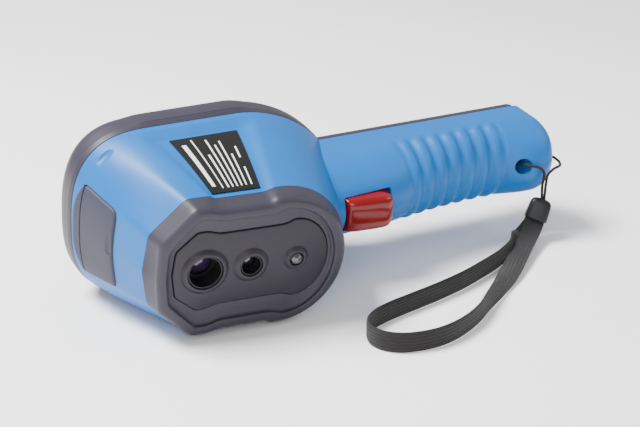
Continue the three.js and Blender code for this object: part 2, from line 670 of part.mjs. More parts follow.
// ---- label --------------------------------------------------------------------------------
const LABEL_FRONT = [41.8, 62.4];      // x of the label's two sides at the bezel
const LABEL_REAR = [39.1, 69.9];       // and at the rear of the recess
const LABEL_END = 0.78;

// A thin plate that follows the floor of the label recess.
function labelPlate() {
  const rings = [0.04, 0.2, 0.45, 0.62, LABEL_END].map((t) => {
    const skin = headRing(t, 0);
    const [left, right] = [skin[RECESS_FROM], skin[RECESS_TO]];
    const points = [0, 1].map((side) => {
      const x = lerp(LABEL_FRONT[side], LABEL_REAR[side], t / LABEL_END);
      return vec(x, lerp(left.y, right.y, (x - left.x) / (right.x - left.x)), left.z + GAP);
    });
    const lifted = points.map((p) => vec(p.x, p.y, p.z + 0.5));
    return [points[0], points[1], lifted[1], lifted[0]];
  });
  return loft(rings);
}

// ---- buttons ------------------------------------------------------------------------------
const KEY_TRAVEL = 0.8;

function keyButton(key) {
  const top = keyTop(key);
  const cap = keyPlug(key, 0, top - 4, top + 0.9);
  const flange = keyPlug(key, 0.5, top - 4, top - WALL - GAP);
  return unite(cap, flange);
}

function coverScrew([x, z]) {
  const seat = (x < 120 ? REAR_Y : CROWN_Y) - 3.1;
  const head = lathe([[0, 0], [2.5, 0], [2.5, 1.5], [2.1, 1.9], [0, 1.9]], 20).translate(x, seat, z);
  const socket = new THREE.CylinderGeometry(1.2, 1.2, 2, 6).translate(x, seat + 1.9, z);
  const shank = rod(vec(x, SCREW_TIP_Y + 0.6, z), vec(x, seat + 0.5, z), 1, 12);
  return subtract(unite(head, shank), socket);
}

// ---- internals ----------------------------------------------------------------------------
const BATTERY = { x0: 10, x1: 64, y0: 52, y1: 63, half: 20 };

// A frame round the battery pack, open at the front and the back.
function batteryTray() {
  const { x0, x1, y0, y1, half } = BATTERY;
  return hollowBox([x0 - 1.8, x1 + 1.8, y0 + 1, y1 - 1, -half - 1.8, half + 1.8],
    [x0 - GAP, x1 + GAP, y0 - 2, y1 + 2, -half - GAP, half + GAP]);
}

// The shutter is a paddle that covers the sensor, on a pivot beside it.
const SHUTTER = { pivotZ: -11, depth: 14.6 };

function shutterFlag() {
  const paddle = panelDisc(0, 0, 6.3, SHUTTER.depth, 0.6);
  const arm = panelBox(-2, 2, SHUTTER.depth, SHUTTER.depth + 0.6, SHUTTER.pivotZ, 0);
  return unite(paddle, arm, panelDisc(0, SHUTTER.pivotZ, 2.6, SHUTTER.depth, 0.6));
}

function panelDisc(u, z, radius, depth, thick) {
  return rod(onPanel(u, z, -depth), onPanel(u, z, -depth - thick), radius, 24);
}

function ledLens() {
  const dome = [[0, -4.4], [2.75, -4.4], [2.75, -0.4], [2.1, 0.4], [1, 0.9], [0, 1]];
  return aim(lathe(dome, 24), onPanel(2 * LENS_PITCH, 0, 0), PANEL_OUT);
}

// ---- wrist strap --------------------------------------------------------------------------
// Points on the table frame: x and y as on the body frame laid down, z above the table.
const REST_HEIGHT = 30.9;     // height of the body frame's origin above the table
const CORD_RADIUS = 0.65;
const WEB_WIDE = 9;
const WEB_THICK = 1.4;
const CAP_TOP = vec(221.4, 24, 20.8);
const CAP_END = vec(217, 23.5, 11.2);
const CAP_ACROSS = vec(0.87, -0.49, 0);

function laidDown(x, y, z) {
  return vec(x, y, z).applyAxisAngle(vec(1, 0, 0), LIE_TILT).add(vec(0, 0, REST_HEIGHT));
}

// The thin cord: up from the cap, through the hole in the handle, out at the butt and back down.
function cordRoute() {
  return [
    vec(220.7, 24.4, 22), laidDown(220.6, 23.2, -6.5), laidDown(220.8, 23.1, -3), laidDown(220.2, 23, 0.2),
    laidDown(217.4, 23.6, 3), laidDown(214.4, 25, 3.6), laidDown(212.3, 29, 3.2), laidDown(212, 34, 2.2),
    laidDown(214.6, 37.8, 0.9), laidDown(221, 38.2, 0.5), laidDown(230, 38.2, 0.5), laidDown(233.6, 37, 0.4),
    laidDown(234.3, 33.5, 0.8), laidDown(233.4, 28, 1.4), laidDown(229.8, 24, 1.6), laidDown(225.4, 23, 0.9),
    laidDown(222.7, 22.9, -1.6), laidDown(222.4, 22.9, -5.5), vec(222.5, 23.6, 22),
  ];
}

function strapCord() {
  const section = new THREE.Shape();
  section.absarc(0, 0, CORD_RADIUS, 0, Math.PI * 2);
  const route = new THREE.CatmullRomCurve3(cordRoute(), false, 'centripetal');
  return new THREE.ExtrudeGeometry(section, { steps: 60, extrudePath: route, curveSegments: 4, bevelEnabled: false });
}

function strapCap() {
  const down = CAP_END.clone().sub(CAP_TOP).normalize();
  const through = vec().crossVectors(down, CAP_ACROSS).normalize();
  const across = vec().crossVectors(through, down);
  const height = CAP_TOP.distanceTo(CAP_END);
  const sizes = [[0, 2.6, 1.6], [0.07, 4.2, 2.3], [0.22, 5.1, 2.8], [0.5, 5.4, 3], [0.85, 5.6, 3.1], [1, 5.4, 2.9]];
  const rings = sizes.map(([t, wide, thick]) => {
    const ring = [];
    for (let i = 0; i < 20; i += 1) {
      const angle = (i / 20) * Math.PI * 2;
      const c = Math.sign(Math.cos(angle)) * Math.abs(Math.cos(angle)) ** 0.6;
      const s = Math.sign(Math.sin(angle)) * Math.abs(Math.sin(angle)) ** 0.6;
      ring.push(CAP_TOP.clone().addScaledVector(down, t * height).addScaledVector(across, wide * c)
        .addScaledVector(through, thick * s));
    }
    return ring;
  });
  return loft(rings);
}

// The webbing leaves the cap, runs along the table on its edge, turns back and returns to the cap.
const WEB_Z = WEB_WIDE / 2 + 0.3;
const WEB_ROUTE = [
  [217, 24.3, 10.5], [215.9, 24.2, 8.6], [212.6, 23.6, 6.2], [208.6, 22], [203, 19.4], [193.5, 11.4], [183, 4.8],
  [168, -2], [157, -6.5], [140.7, -11.5], [122.6, -15.8], [110.8, -18.7], [101.5, -22.4], [95.4, -27.6], [93.2, -34],
  [94.8, -41], [100.4, -46.4], [108, -48.8], [116.5, -49.2], [125.8, -47.2], [135.6, -43], [145.2, -37],
  [153.4, -30.4], [164.6, -21.8], [180, -8.8, 4.4], [195, 5, 4.6], [205, 14, 5.2], [211, 19, 6.4],
  [214.4, 21.6, 8.2], [216.2, 22.6, 10.5],
];
const FAR_TWIST = [0.01, 0.1];   // where the webbing turns upright after leaving the cap
const NEAR_TWIST = [0.04, 0.36]; // and, counted from its other end, where it starts to lie over

function strapWebbing() {
  const route = new THREE.CatmullRomCurve3(WEB_ROUTE.map(([x, y, z = WEB_Z]) => vec(x, y, z)), false, 'centripetal');
  const steps = 84;
  const rings = [];
  for (let i = 0; i <= steps; i += 1) {
    const t = i / steps;
    const centre = route.getPointAt(t);
    const along = route.getTangentAt(t);
    const upright = t < 0.5 ? THREE.MathUtils.smoothstep(t, ...FAR_TWIST) : THREE.MathUtils.smoothstep(1 - t, ...NEAR_TWIST);
    const wide = CAP_ACROSS.clone().multiplyScalar(-1).lerp(vec(0, 0, 1), upright);
    wide.addScaledVector(along, -wide.dot(along)).normalize();
    const thin = vec().crossVectors(along, wide);
    const corner = (a, b) => centre.clone().addScaledVector(wide, (a * WEB_WIDE) / 2).addScaledVector(thin, (b * WEB_THICK) / 2);
    rings.push([corner(1, 1), corner(-1, 1), corner(-1, -1), corner(1, -1)]);
  }
  return loft(rings);
}

// ---- assembly -----------------------------------------------------------------------------
const camera = new THREE.Group();
const housing = new THREE.Group();
housing.rotation.x = LIE_TILT;
housing.position.z = REST_HEIGHT;
camera.add(housing);

function place(name, geometry, material, parent = housing) {
  const mesh = new THREE.Mesh(geometry, material);
  mesh.name = name;
  parent.add(mesh);
}

place('front_shell', frontShell(), bluePlastic);
place('rear_cover', rearCover(), charcoalPlastic);
place('lens_bezel', lensBezel(), charcoalPlastic);
place('lens_panel', lensPanel(), panelPlastic);
place('ir_lens_barrel', steppedBarrel(0, 7.3, -0.4, [[6.8, 7.4], [5.3, 1.8]], -14), blackPlastic);
place('ir_lens', lensDisc(0, 5, 0.8, -8.2, 2.4), germanium);
place('shutter_flag', shutterFlag(), steel);
place('ir_sensor_module', panelBox(-12, 12, 16, 29, -13, 13), aluminium);
place('visible_camera_barrel', steppedBarrel(1, 4.5, -0.4, [[4.1, 3.8], [3.6, 1.2]], -9, 24), blackPlastic);
place('visible_camera_lens', lensDisc(1, 3.3, 0.7, -4.6, 2), glass);
place('camera_module', panelBox(14.6, 25.1, 9.3, 15, -5.5, 5.5), boardGreen);
place('led_lens', ledLens(), clearPlastic);
place('led_emitter', panelBox(37.4, 42, 4.8, 7.5, -2.6, 2.6), boardGreen);
place('port_cover', portCover(), charcoalRubber);
place('port_cover_root', portCoverRoot(), charcoalRubber);
place('usb_socket', hollowBox([8.2, 14.6, 37, 41, -12.4, -4], [5, 13.4, 37.6, 40.4, -11.8, -4.6]), steel);
place('card_socket', hollowBox([8.6, 20, 36.4, 39.8, 0.8, 14.2], [6, 18.8, 37.2, 39, 1.6, 13.4]), steel);
place('memory_card', box(8.8, 18.2, 37.6, 38.6, 2, 13), blackPlastic);
place('trigger', triggerBody(), redPlastic);
place('trigger_pin', pinHole(1.2), steel);
place('trigger_spring', springCoil(vec(127, 32.4, 0), 2.3, 0.7, 1.4, 4), steel);
place('trigger_switch', box(122, 133, 42.4, 48, -5, 5), blackPlastic);
place('label_plate', labelPlate(), labelFilm);
place('display_glass', roundedSlab(DISPLAY.x0 + GAP, DISPLAY.x1 - GAP, DISPLAY.half - GAP, REAR_Y - 1.3, REAR_Y - 0.1,
  DISPLAY.corner - GAP), glass);
place('display_panel', box(19, 81, 71, 76.3, -22.8, 22.8), aluminium);
for (const key of KEYS) place(key.name, keyButton(key), charcoalRubber);
place('keypad_board', box(86.5, 112, 72.7, 74.1, -12.5, 12.5), boardGreen);
place('power_switch', box(130, 138, 61.5, 65.1, -4, 4), blackPlastic);
place('main_board', box(20, 104, 47, 48.6, -24, 24), boardGreen);
place('chassis_plate', box(15, 66, 31.2, 36, -21, 21), steel);
place('battery_pack', box(BATTERY.x0, BATTERY.x1, BATTERY.y0, BATTERY.y1, -BATTERY.half, BATTERY.half), batteryWrap);
place('battery_tray', batteryTray(), blackPlastic);
SCREWS.forEach((spot, i) => place(`cover_screw_${i + 1}`, coverScrew(spot), steel));
const rigid = new THREE.Box3().setFromObject(camera, true);
place('strap_cord', strapCord(), blackPlastic, camera);
place('strap_cap', strapCap(), charcoalPlastic, camera);
place('strap_webbing', strapWebbing(), webbing, camera);

// The origin is under the middle of the camera itself, on the table.
const middle = rigid.getCenter(vec());
camera.position.set(-middle.x, -middle.y, -rigid.min.z);

const part = new THREE.Group();
part.add(camera);
export default part;
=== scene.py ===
# Looks of the handheld thermal imaging camera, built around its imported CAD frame.
# Shapes are worked out in millimetres in the camera's own axes: x from the head's end face to the
# butt of the handle, y from the lens side to the display side, z across the width. `lay_down` then
# rolls them onto the table and turns them into metres.
import json
import math

import bmesh
import bpy
import numpy as np
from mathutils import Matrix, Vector


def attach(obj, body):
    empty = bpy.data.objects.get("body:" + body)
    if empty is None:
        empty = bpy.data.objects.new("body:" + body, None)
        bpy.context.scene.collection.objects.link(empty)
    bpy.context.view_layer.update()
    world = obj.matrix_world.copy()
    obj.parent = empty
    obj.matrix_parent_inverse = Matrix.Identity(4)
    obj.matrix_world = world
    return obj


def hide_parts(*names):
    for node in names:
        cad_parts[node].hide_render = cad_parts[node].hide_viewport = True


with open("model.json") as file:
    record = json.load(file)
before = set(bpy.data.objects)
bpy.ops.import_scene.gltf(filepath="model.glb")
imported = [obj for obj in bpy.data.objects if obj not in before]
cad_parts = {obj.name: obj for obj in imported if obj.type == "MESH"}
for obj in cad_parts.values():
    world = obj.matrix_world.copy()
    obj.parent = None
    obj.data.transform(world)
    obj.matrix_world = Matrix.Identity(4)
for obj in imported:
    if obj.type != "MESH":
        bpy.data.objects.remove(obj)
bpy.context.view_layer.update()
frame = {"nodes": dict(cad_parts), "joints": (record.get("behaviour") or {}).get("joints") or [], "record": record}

# ---- driving dimensions, in millimetres -----------------------------------------------------
LENGTH = 232.5
HEAD_HALF = 39.0
HANDLE_HALF = 18.8
SEAM_Y = 57.7
REAR_Y = 79.0
CROWN_Y = 70.0
WALL = 2.4
GAP = 0.3
LENS_X = 35.65
LENS_PITCH = 19.85
LENS_TILT = math.radians(5.3)
BEZEL_BACK = -8.4
TRIGGER_PIN = (114.6, 27.5, 0.0)
COVER_HINGE_Y = 50.6
FINE = 6                      # how much finer than the CAD the outlines are

joints = {joint["name"]: joint for joint in frame["joints"]}


def lying_frame():
    """The turn and shift from the camera's own axes to the row frame, read from the trigger's hinge."""
    hinge = joints["trigger_pull"]
    across = np.array(hinge["axis"], float)
    along = np.array([1.0, 0.0, 0.0])
    back = np.cross(across, along)
    turn = np.column_stack([along, back, across])
    shift = np.array(hinge["pos_m"], float) * 1000 - turn @ np.array(TRIGGER_PIN)
    return turn, shift


TURN, SHIFT = lying_frame()


def lay_down(points):
    return (np.asarray(points, float) @ TURN.T + SHIFT) / 1000


# ---- mesh helpers ---------------------------------------------------------------------------
def make_mesh(name, vertices, faces, material, sharp=35.0):
    mesh = bpy.data.meshes.new(name)
    mesh.from_pydata([tuple(v) for v in vertices], [], faces)
    mesh.validate()
    mesh.update()
    piece = bpy.data.objects.new(name, mesh)
    bpy.context.scene.collection.objects.link(piece)
    tidy_normals(piece)
    shade(piece, sharp)
    if material:
        mesh.materials.append(material)
    return piece


def tidy_normals(piece):
    work = bmesh.new()
    work.from_mesh(piece.data)
    bmesh.ops.remove_doubles(work, verts=work.verts, dist=1e-7)
    bmesh.ops.recalc_face_normals(work, faces=work.faces)
    work.to_mesh(piece.data)
    work.free()


def shade(piece, sharp=35.0):
    piece.data.shade_smooth()
    piece.data.set_sharp_from_angle(angle=math.radians(sharp))


def skin(rings, looped=False):
    """Vertices and faces of a skin through rings of equal count, with flat ends unless it is looped."""
    count = len(rings[0])
    faces = []
    bands = len(rings) if looped else len(rings) - 1
    for ring in range(bands):
        here = ring * count
        there = ((ring + 1) % len(rings)) * count
        for i in range(count):
            j = (i + 1) % count
            faces.append((here + i, here + j, there + j, there + i))
    if not looped:
        faces.append(tuple(range(count))[::-1])
        faces.append(tuple(range((len(rings) - 1) * count, len(rings) * count)))
    return np.vstack(rings), faces


def loft(name, rings, material, looped=False, sharp=35.0, laid=True):
    vertices, faces = skin(rings, looped)
    return make_mesh(name, lay_down(vertices) if laid else vertices, faces, material, sharp)


def apply_modifiers(piece):
    depsgraph = bpy.context.evaluated_depsgraph_get()
    mesh = bpy.data.meshes.new_from_object(piece.evaluated_get(depsgraph))
    old = piece.data
    piece.modifiers.clear()
    piece.data = mesh
    bpy.data.meshes.remove(old)


def cut(piece, cutters, sharp=35.0):
    """Cuts each closed cutter out of a piece and throws the cutters away."""
    for cutter in cutters:
        boolean = piece.modifiers.new("cut", "BOOLEAN")
        boolean.operation = "DIFFERENCE"
        boolean.solver = "EXACT"
        boolean.object = cutter
    bpy.context.view_layer.update()
    apply_modifiers(piece)
    for cutter in cutters:
        bpy.data.objects.remove(cutter)
    shade(piece, sharp)


def join(name, pieces):
    """Makes one piece of several that stay separate skins."""
    first = pieces[0]
    with bpy.context.temp_override(active_object=first, selected_editable_objects=pieces):
        bpy.ops.object.join()
    first.name = name
    first.data.name = name
    return first


def block(x0, x1, y0, y1, z0, z1, bevel=0.0):
    corners = [(x, y, z) for x in (x0, x1) for y in (y0, y1) for z in (z0, z1)]
    faces = [(0, 1, 3, 2), (4, 6, 7, 5), (0, 4, 5, 1), (2, 3, 7, 6), (0, 2, 6, 4), (1, 5, 7, 3)]
    piece = make_mesh("block", lay_down(corners), faces, None)
    if bevel:
        round_edges(piece, bevel, 4)
        bpy.context.view_layer.update()
        apply_modifiers(piece)
    return piece


def round_edges(piece, width_mm, segments=3):
    bevel = piece.modifiers.new("round", "BEVEL")
    bevel.width = width_mm / 1000
    bevel.segments = segments
    bevel.limit_method = "ANGLE"
    bevel.angle_limit = math.radians(40)
    return bevel


def circle(radius, sides, centre, first, second):
    angles = np.arange(sides) * 2 * math.pi / sides
    return (np.asarray(centre) + np.outer(np.cos(angles) * radius, first)
            + np.outer(np.sin(angles) * radius, second))


def frame_across(direction):
    direction = np.asarray(direction, float) / np.linalg.norm(direction)
    helper = np.array([0, 0, 1.0]) if abs(direction[2]) < 0.9 else np.array([1.0, 0, 0])
    first = np.cross(direction, helper)
    first /= np.linalg.norm(first)
    return first, np.cross(direction, first), direction


def turned(name, profile, origin, direction, material, sides=64, looped=False):
    """A turned piece: `profile` is (radius, distance along the axis) pairs."""
    first, second, axis = frame_across(direction)
    rings = [circle(max(radius, 0.002), sides, np.asarray(origin) + axis * along, first, second)
             for radius, along in profile]
    return loft(name, rings, material, looped)


def rod(start, end, radius, sides=48):
    start = np.asarray(start, float)
    span = np.asarray(end, float) - start
    return turned("rod", [(radius, 0), (radius, float(np.linalg.norm(span)))], start, span, None, sides)


def eased(rings, steps):
    """More rings between the given ones, on a smooth curve through matching points."""
    rings = np.asarray(rings)
    last = len(rings) - 1
    result = []
    for span in range(last):
        a, b, c, d = (rings[min(max(span + offset, 0), last)] for offset in (-1, 0, 1, 2))
        for step in range(steps):
            t = step / steps
            result.append(0.5 * (2 * b + (c - a) * t + (2 * a - 5 * b + 4 * c - d) * t ** 2
                                 + (3 * b - a - 3 * c + d) * t ** 3))
    result.append(rings[-1])
    return result


def lerp(a, b, t):
    return a + (b - a) * t


# ---- materials ------------------------------------------------------------------------------
def new_material(name):
    material = bpy.data.materials.new(name)
    material.use_nodes = True
    nodes = material.node_tree.nodes
    return material, nodes, material.node_tree.links, nodes["Principled BSDF"]


def add_noise(nodes, links, scale, detail=3.0):
    coordinates = nodes.new("ShaderNodeTexCoord")
    noise = nodes.new("ShaderNodeTexNoise")
    noise.inputs["Scale"].default_value = scale
    noise.inputs["Detail"].default_value = detail
    links.new(coordinates.outputs["Object"], noise.inputs["Vector"])
    return noise


def ramp_between(nodes, links, source, low, high, start=0.35, end=0.65):
    ramp = nodes.new("ShaderNodeValToRGB")
    ramp.color_ramp.elements[0].position = start
    ramp.color_ramp.elements[0].color = low
    ramp.color_ramp.elements[1].position = end
    ramp.color_ramp.elements[1].color = high
    links.new(source, ramp.inputs["Fac"])
    return ramp


def add_bump(nodes, links, shader, height, strength, distance):
    bump = nodes.new("ShaderNodeBump")
    bump.inputs["Strength"].default_value = strength
    bump.inputs["Distance"].default_value = distance
    links.new(height, bump.inputs["Height"])
    links.new(bump.outputs["Normal"], shader.inputs["Normal"])


def moulded(name, colour, roughness, grain=1800, bump=0.25, spread=0.06, coat=0.0):
    """Moulded plastic or rubber: a fine spark-eroded grain, slight cloudiness of tone and of gloss."""
    material, nodes, links, shader = new_material(name)
    cloud = add_noise(nodes, links, 45, 4)
    low = [c * (1 - spread) for c in colour] + [1]
    high = [min(1, c * (1 + spread)) for c in colour] + [1]
    tone = ramp_between(nodes, links, cloud.outputs["Fac"], low, high)
    links.new(tone.outputs["Color"], shader.inputs["Base Color"])
    gloss = nodes.new("ShaderNodeMapRange")
    gloss.inputs["To Min"].default_value = max(0.02, roughness - 0.05)
    gloss.inputs["To Max"].default_value = roughness + 0.05
    links.new(cloud.outputs["Fac"], gloss.inputs["Value"])
    links.new(gloss.outputs["Result"], shader.inputs["Roughness"])
    fine = add_noise(nodes, links, grain, 2)
    add_bump(nodes, links, shader, fine.outputs["Fac"], bump, 0.00008)
    shader.inputs["Specular IOR Level"].default_value = 0.3
    shader.inputs["Coat Weight"].default_value = coat
    shader.inputs["Coat Roughness"].default_value = 0.08
    return material


def brushed(name, colour, roughness):
    """Metal with fine lines drawn along it."""
    material, nodes, links, shader = new_material(name)
    coordinates = nodes.new("ShaderNodeTexCoord")
    stretch = nodes.new("ShaderNodeMapping")
    stretch.inputs["Scale"].default_value = (60, 2400, 2400)
    noise = nodes.new("ShaderNodeTexNoise")
    noise.inputs["Scale"].default_value = 1
    links.new(coordinates.outputs["Object"], stretch.inputs["Vector"])
    links.new(stretch.outputs["Vector"], noise.inputs["Vector"])
    low = [c * 0.82 for c in colour] + [1]
    tone = ramp_between(nodes, links, noise.outputs["Fac"], low, list(colour) + [1], 0.3, 0.7)
    links.new(tone.outputs["Color"], shader.inputs["Base Color"])
    add_bump(nodes, links, shader, noise.outputs["Fac"], 0.15, 0.00003)
    shader.inputs["Metallic"].default_value = 1
    shader.inputs["Roughness"].default_value = roughness
    return material


def polished(name, colour, coat_tint=(1, 1, 1)):
    """Glass-like, with faint smears in its gloss."""
    material, nodes, links, shader = new_material(name)
    smear = add_noise(nodes, links, 30, 5)
    gloss = nodes.new("ShaderNodeMapRange")
    gloss.inputs["To Min"].default_value = 0.03
    gloss.inputs["To Max"].default_value = 0.10
    links.new(smear.outputs["Fac"], gloss.inputs["Value"])
    links.new(gloss.outputs["Result"], shader.inputs["Roughness"])
    low = [c * 0.85 for c in colour] + [1]
    tone = ramp_between(nodes, links, smear.outputs["Fac"], low, list(colour) + [1])
    links.new(tone.outputs["Color"], shader.inputs["Base Color"])
    shader.inputs["Coat Weight"].default_value = 1
    shader.inputs["Coat Roughness"].default_value = 0.02
    shader.inputs["Coat Tint"].default_value = (*coat_tint, 1)
    return material


THREADS_ALONG, THREADS_ACROSS = 500, 300    # scale of the weave, per metre


def woven(name, colour):
    """Tight dark webbing: a herringbone of fine threads from two crossed wave patterns."""
    material, nodes, links, shader = new_material(name)
    coordinates = nodes.new("ShaderNodeUVMap")
    coordinates.uv_map = "weave"
    waves = []
    for slant in (35, -35):
        turn = nodes.new("ShaderNodeMapping")
        turn.inputs["Rotation"].default_value = (0, 0, math.radians(slant))
        turn.inputs["Scale"].default_value = (THREADS_ALONG, THREADS_ACROSS, 1)
        wave = nodes.new("ShaderNodeTexWave")
        wave.inputs["Scale"].default_value = 1
        wave.inputs["Distortion"].default_value = 0.6
        wave.inputs["Detail"].default_value = 1
        links.new(coordinates.outputs["UV"], turn.inputs["Vector"])
        links.new(turn.outputs["Vector"], wave.inputs["Vector"])
        waves.append(wave)
    cross = nodes.new("ShaderNodeMath")
    cross.operation = "MAXIMUM"
    links.new(waves[0].outputs["Fac"], cross.inputs[0])
    links.new(waves[1].outputs["Fac"], cross.inputs[1])
    low = [c * 0.45 for c in colour] + [1]
    high = [c * 1.7 for c in colour] + [1]
    tone = ramp_between(nodes, links, cross.outputs["Value"], low, high, 0.2, 0.95)
    links.new(tone.outputs["Color"], shader.inputs["Base Color"])
    add_bump(nodes, links, shader, cross.outputs["Value"], 0.7, 0.0002)
    shader.inputs["Roughness"].default_value = 0.85
    shader.inputs["Sheen Weight"].default_value = 0.08
    shader.inputs["Sheen Roughness"].default_value = 0.4
    return material


BLUE = moulded("blue_plastic", (0.0, 0.115, 0.38), 0.42, grain=1500, bump=0.22, spread=0.03)
CHARCOAL = moulded("charcoal_plastic", (0.030, 0.027, 0.040), 0.44, grain=1700, bump=0.35)
PANEL = moulded("panel_plastic", (0.020, 0.017, 0.025), 0.46, grain=1700, bump=0.3)
RUBBER = moulded("charcoal_rubber", (0.032, 0.033, 0.052), 0.55, grain=1400, bump=0.4)
BLACK = moulded("black_plastic", (0.006, 0.006, 0.008), 0.4, grain=2200, bump=0.2)
RED = moulded("red_plastic", (0.17, 0.0008, 0.002), 0.2, grain=500, bump=0.05, spread=0.1, coat=0.25)
LABEL = moulded("label_film", (0.006, 0.006, 0.005), 0.42, grain=900, bump=0.1)
PRINT = moulded("label_print", (0.72, 0.73, 0.72), 0.5, grain=900, bump=0.1)
BOARD = moulded("circuit_board", (0.01, 0.13, 0.05), 0.45, grain=600, bump=0.3, spread=0.3)
WRAP = moulded("battery_wrap", (0.03, 0.10, 0.32), 0.3, grain=300, bump=0.15)
STEEL = brushed("bright_steel", (0.62, 0.62, 0.64), 0.28)
ALUMINIUM = brushed("cast_aluminium", (0.66, 0.67, 0.69), 0.38)
DARK_GLASS = polished("dark_glass", (0.008, 0.009, 0.012))
INFRARED = polished("infrared_glass", (0.03, 0.018, 0.04), (0.8, 0.7, 1.0))
CLEAR = polished("clear_plastic", (0.03, 0.03, 0.035))
BACKING = moulded("display_backing", (0.3, 0.31, 0.33), 0.35)
WEBBING = woven("strap_fabric", (0.005, 0.004, 0.004))

SLOT_MATERIALS = {
    "blue_plastic": BLUE, "charcoal_plastic": CHARCOAL, "panel_plastic": PANEL, "charcoal_rubber": RUBBER,
    "black_plastic": BLACK, "red_plastic": RED, "label_film": LABEL, "circuit_board": BOARD,
    "battery_wrap": WRAP, "bright_steel": STEEL, "cast_aluminium": ALUMINIUM, "dark_glass": DARK_GLASS,
    "infrared_glass": INFRARED, "clear_plastic": CLEAR, "display_backing": BACKING, "strap_fabric": WEBBING,
}


def dress_cad_nodes():
    """Gives every CAD node its slot's material and smooth shading away from its sharp edges."""
    for subpart in frame["record"]["subparts"]:
        node = frame["nodes"][subpart["node"]]
        node.data.materials.clear()
        node.data.materials.append(SLOT_MATERIALS[subpart["material_slot"]])
        node.data.shade_smooth()
        node.data.set_sharp_from_angle(angle=math.radians(30))


# ---- camera, floor and light ----------------------------------------------------------------
def add_camera():
    data = bpy.data.cameras.new("camera")
    data.lens = 84.4
    data.sensor_width = 36
    view = bpy.data.objects.new("camera", data)
    view.location = (-0.3051, -0.5432, 0.2757)
    forward = Vector((0.4465, 0.8155, -0.3683))
    view.rotation_euler = forward.to_track_quat("-Z", "Y").to_euler()
    bpy.context.scene.collection.objects.link(view)
    bpy.context.scene.camera = view


LIGHT_AIM = (0, 0, 0.03)


def add_area(name, place, size, power):
    data = bpy.data.lights.new(name, "AREA")
    data.shape = "RECTANGLE"
    data.size = size[0]
    data.size_y = size[1]
    data.energy = power
    light = bpy.data.objects.new(name, data)
    light.location = place
    light.rotation_euler = (Vector(LIGHT_AIM) - Vector(place)).to_track_quat("-Z", "Y").to_euler()
    bpy.context.scene.collection.objects.link(light)


def add_studio():
    floor = make_mesh("floor", [(-4, -4, 0), (4, -4, 0), (4, 4, 0), (-4, 4, 0)], [(0, 1, 2, 3)],
                      moulded("floor_paper", (0.98, 0.98, 0.98), 0.8, grain=300, bump=0.02, spread=0.005))
    add_area("key", (-0.50, 0.20, 0.95), (0.5, 0.4), 34)
    add_area("front_fill", (-0.5, -1.0, 0.5), (0.8, 0.6), 6)
    add_area("right_fill", (0.9, -0.3, 0.7), (0.6, 0.6), 3)
    world = bpy.data.worlds.new("studio")
    world.use_nodes = True
    world.node_tree.nodes["Background"].inputs["Color"].default_value = (1, 1, 1, 1)
    world.node_tree.nodes["Background"].inputs["Strength"].default_value = 0.6
    bpy.context.scene.world = world


# ---- wrist strap ----------------------------------------------------------------------------
CORD_RADIUS = 0.65
WEB_WIDE = 9.0
WEB_THICK = 1.4
CAP_TOP = np.array([221.4, 24, 20.8])
CAP_END = np.array([217, 23.5, 11.2])
CAP_ACROSS = np.array([0.87, -0.49, 0])
WEB_Z = WEB_WIDE / 2 + 0.3
CORD_ROUTE = [
    (220.6, 23.2, -6.5), (220.8, 23.1, -3), (220.2, 23, 0.2), (217.4, 23.6, 3), (214.4, 25, 3.6),
    (212.3, 29, 3.2), (212, 34, 2.2), (214.6, 37.8, 0.9), (221, 38.2, 0.5), (230, 38.2, 0.5),
    (232.9, 37, 0.4), (233.3, 33.5, 0.8), (232.5, 28, 1.2), (229.8, 24, 1.6), (225.4, 23, 0.9),
    (222.7, 22.9, -1.6), (222.4, 22.9, -5.5),
]
WEB_ROUTE = [
    (217.7, 24, 13), (217, 24.3, 10.5), (215.9, 24.2, 8.6), (212.6, 23.6, 6.2), (208.6, 22), (203, 19.4),
    (193.5, 11.4), (183, 4.8),
    (168, -2), (157, -6.5), (140.7, -11.5), (122.6, -15.8), (110.8, -18.7), (101.5, -22.4), (95.4, -27.6),
    (93.2, -34), (94.8, -41), (100.4, -46.4), (108, -48.8), (116.5, -49.2), (125.8, -47.2), (135.6, -43),
    (145.2, -37), (153.4, -30.4), (164.6, -21.8), (180, -8.8, 4.4), (195, 5, 4.6), (205, 14, 5.2),
    (211, 19, 6.4), (214.4, 21.6, 8.2), (216.2, 22.6, 10.5), (217.2, 23.2, 13),
]
FAR_TWIST = (0.01, 0.1)       # where the webbing turns upright after leaving the cap
NEAR_TWIST = (0.04, 0.36)     # and, counted from its other end, where it starts to lie over


def on_table(point):
    """A point given by x and y beside the lying camera and its height above the table, in metres."""
    x, y = point[:2]
    height = point[2] if len(point) > 2 else WEB_Z
    return np.array([x + SHIFT[0], y + SHIFT[1], height]) / 1000


def catmull(points, samples):
    """An even run of points on the centripetal curve through the given ones."""
    points = [np.asarray(p, float) for p in points]
    points = [2 * points[0] - points[1]] + points + [2 * points[-1] - points[-2]]
    dense = []
    for a, b, c, d in zip(points, points[1:], points[2:], points[3:]):
        ta = 0.0
        tb = ta + np.linalg.norm(b - a) ** 0.5
        tc = tb + np.linalg.norm(c - b) ** 0.5
        td = tc + np.linalg.norm(d - c) ** 0.5
        for t in np.linspace(tb, tc, 24, endpoint=False):
            p = lerp(a, b, (t - ta) / (tb - ta))
            q = lerp(b, c, (t - tb) / (tc - tb))
            r = lerp(c, d, (t - tc) / (td - tc))
            s = lerp(p, q, (t - ta) / (tc - ta))
            u = lerp(q, r, (t - tb) / (td - tb))
            dense.append(lerp(s, u, (t - tb) / (tc - tb)))
    dense.append(points[-2])
    dense = np.array(dense)
    walked = np.concatenate([[0], np.cumsum(np.linalg.norm(np.diff(dense, axis=0), axis=1))])
    even = np.linspace(0, walked[-1], samples)
    return np.column_stack([np.interp(even, walked, dense[:, k]) for k in range(3)]), walked[-1]


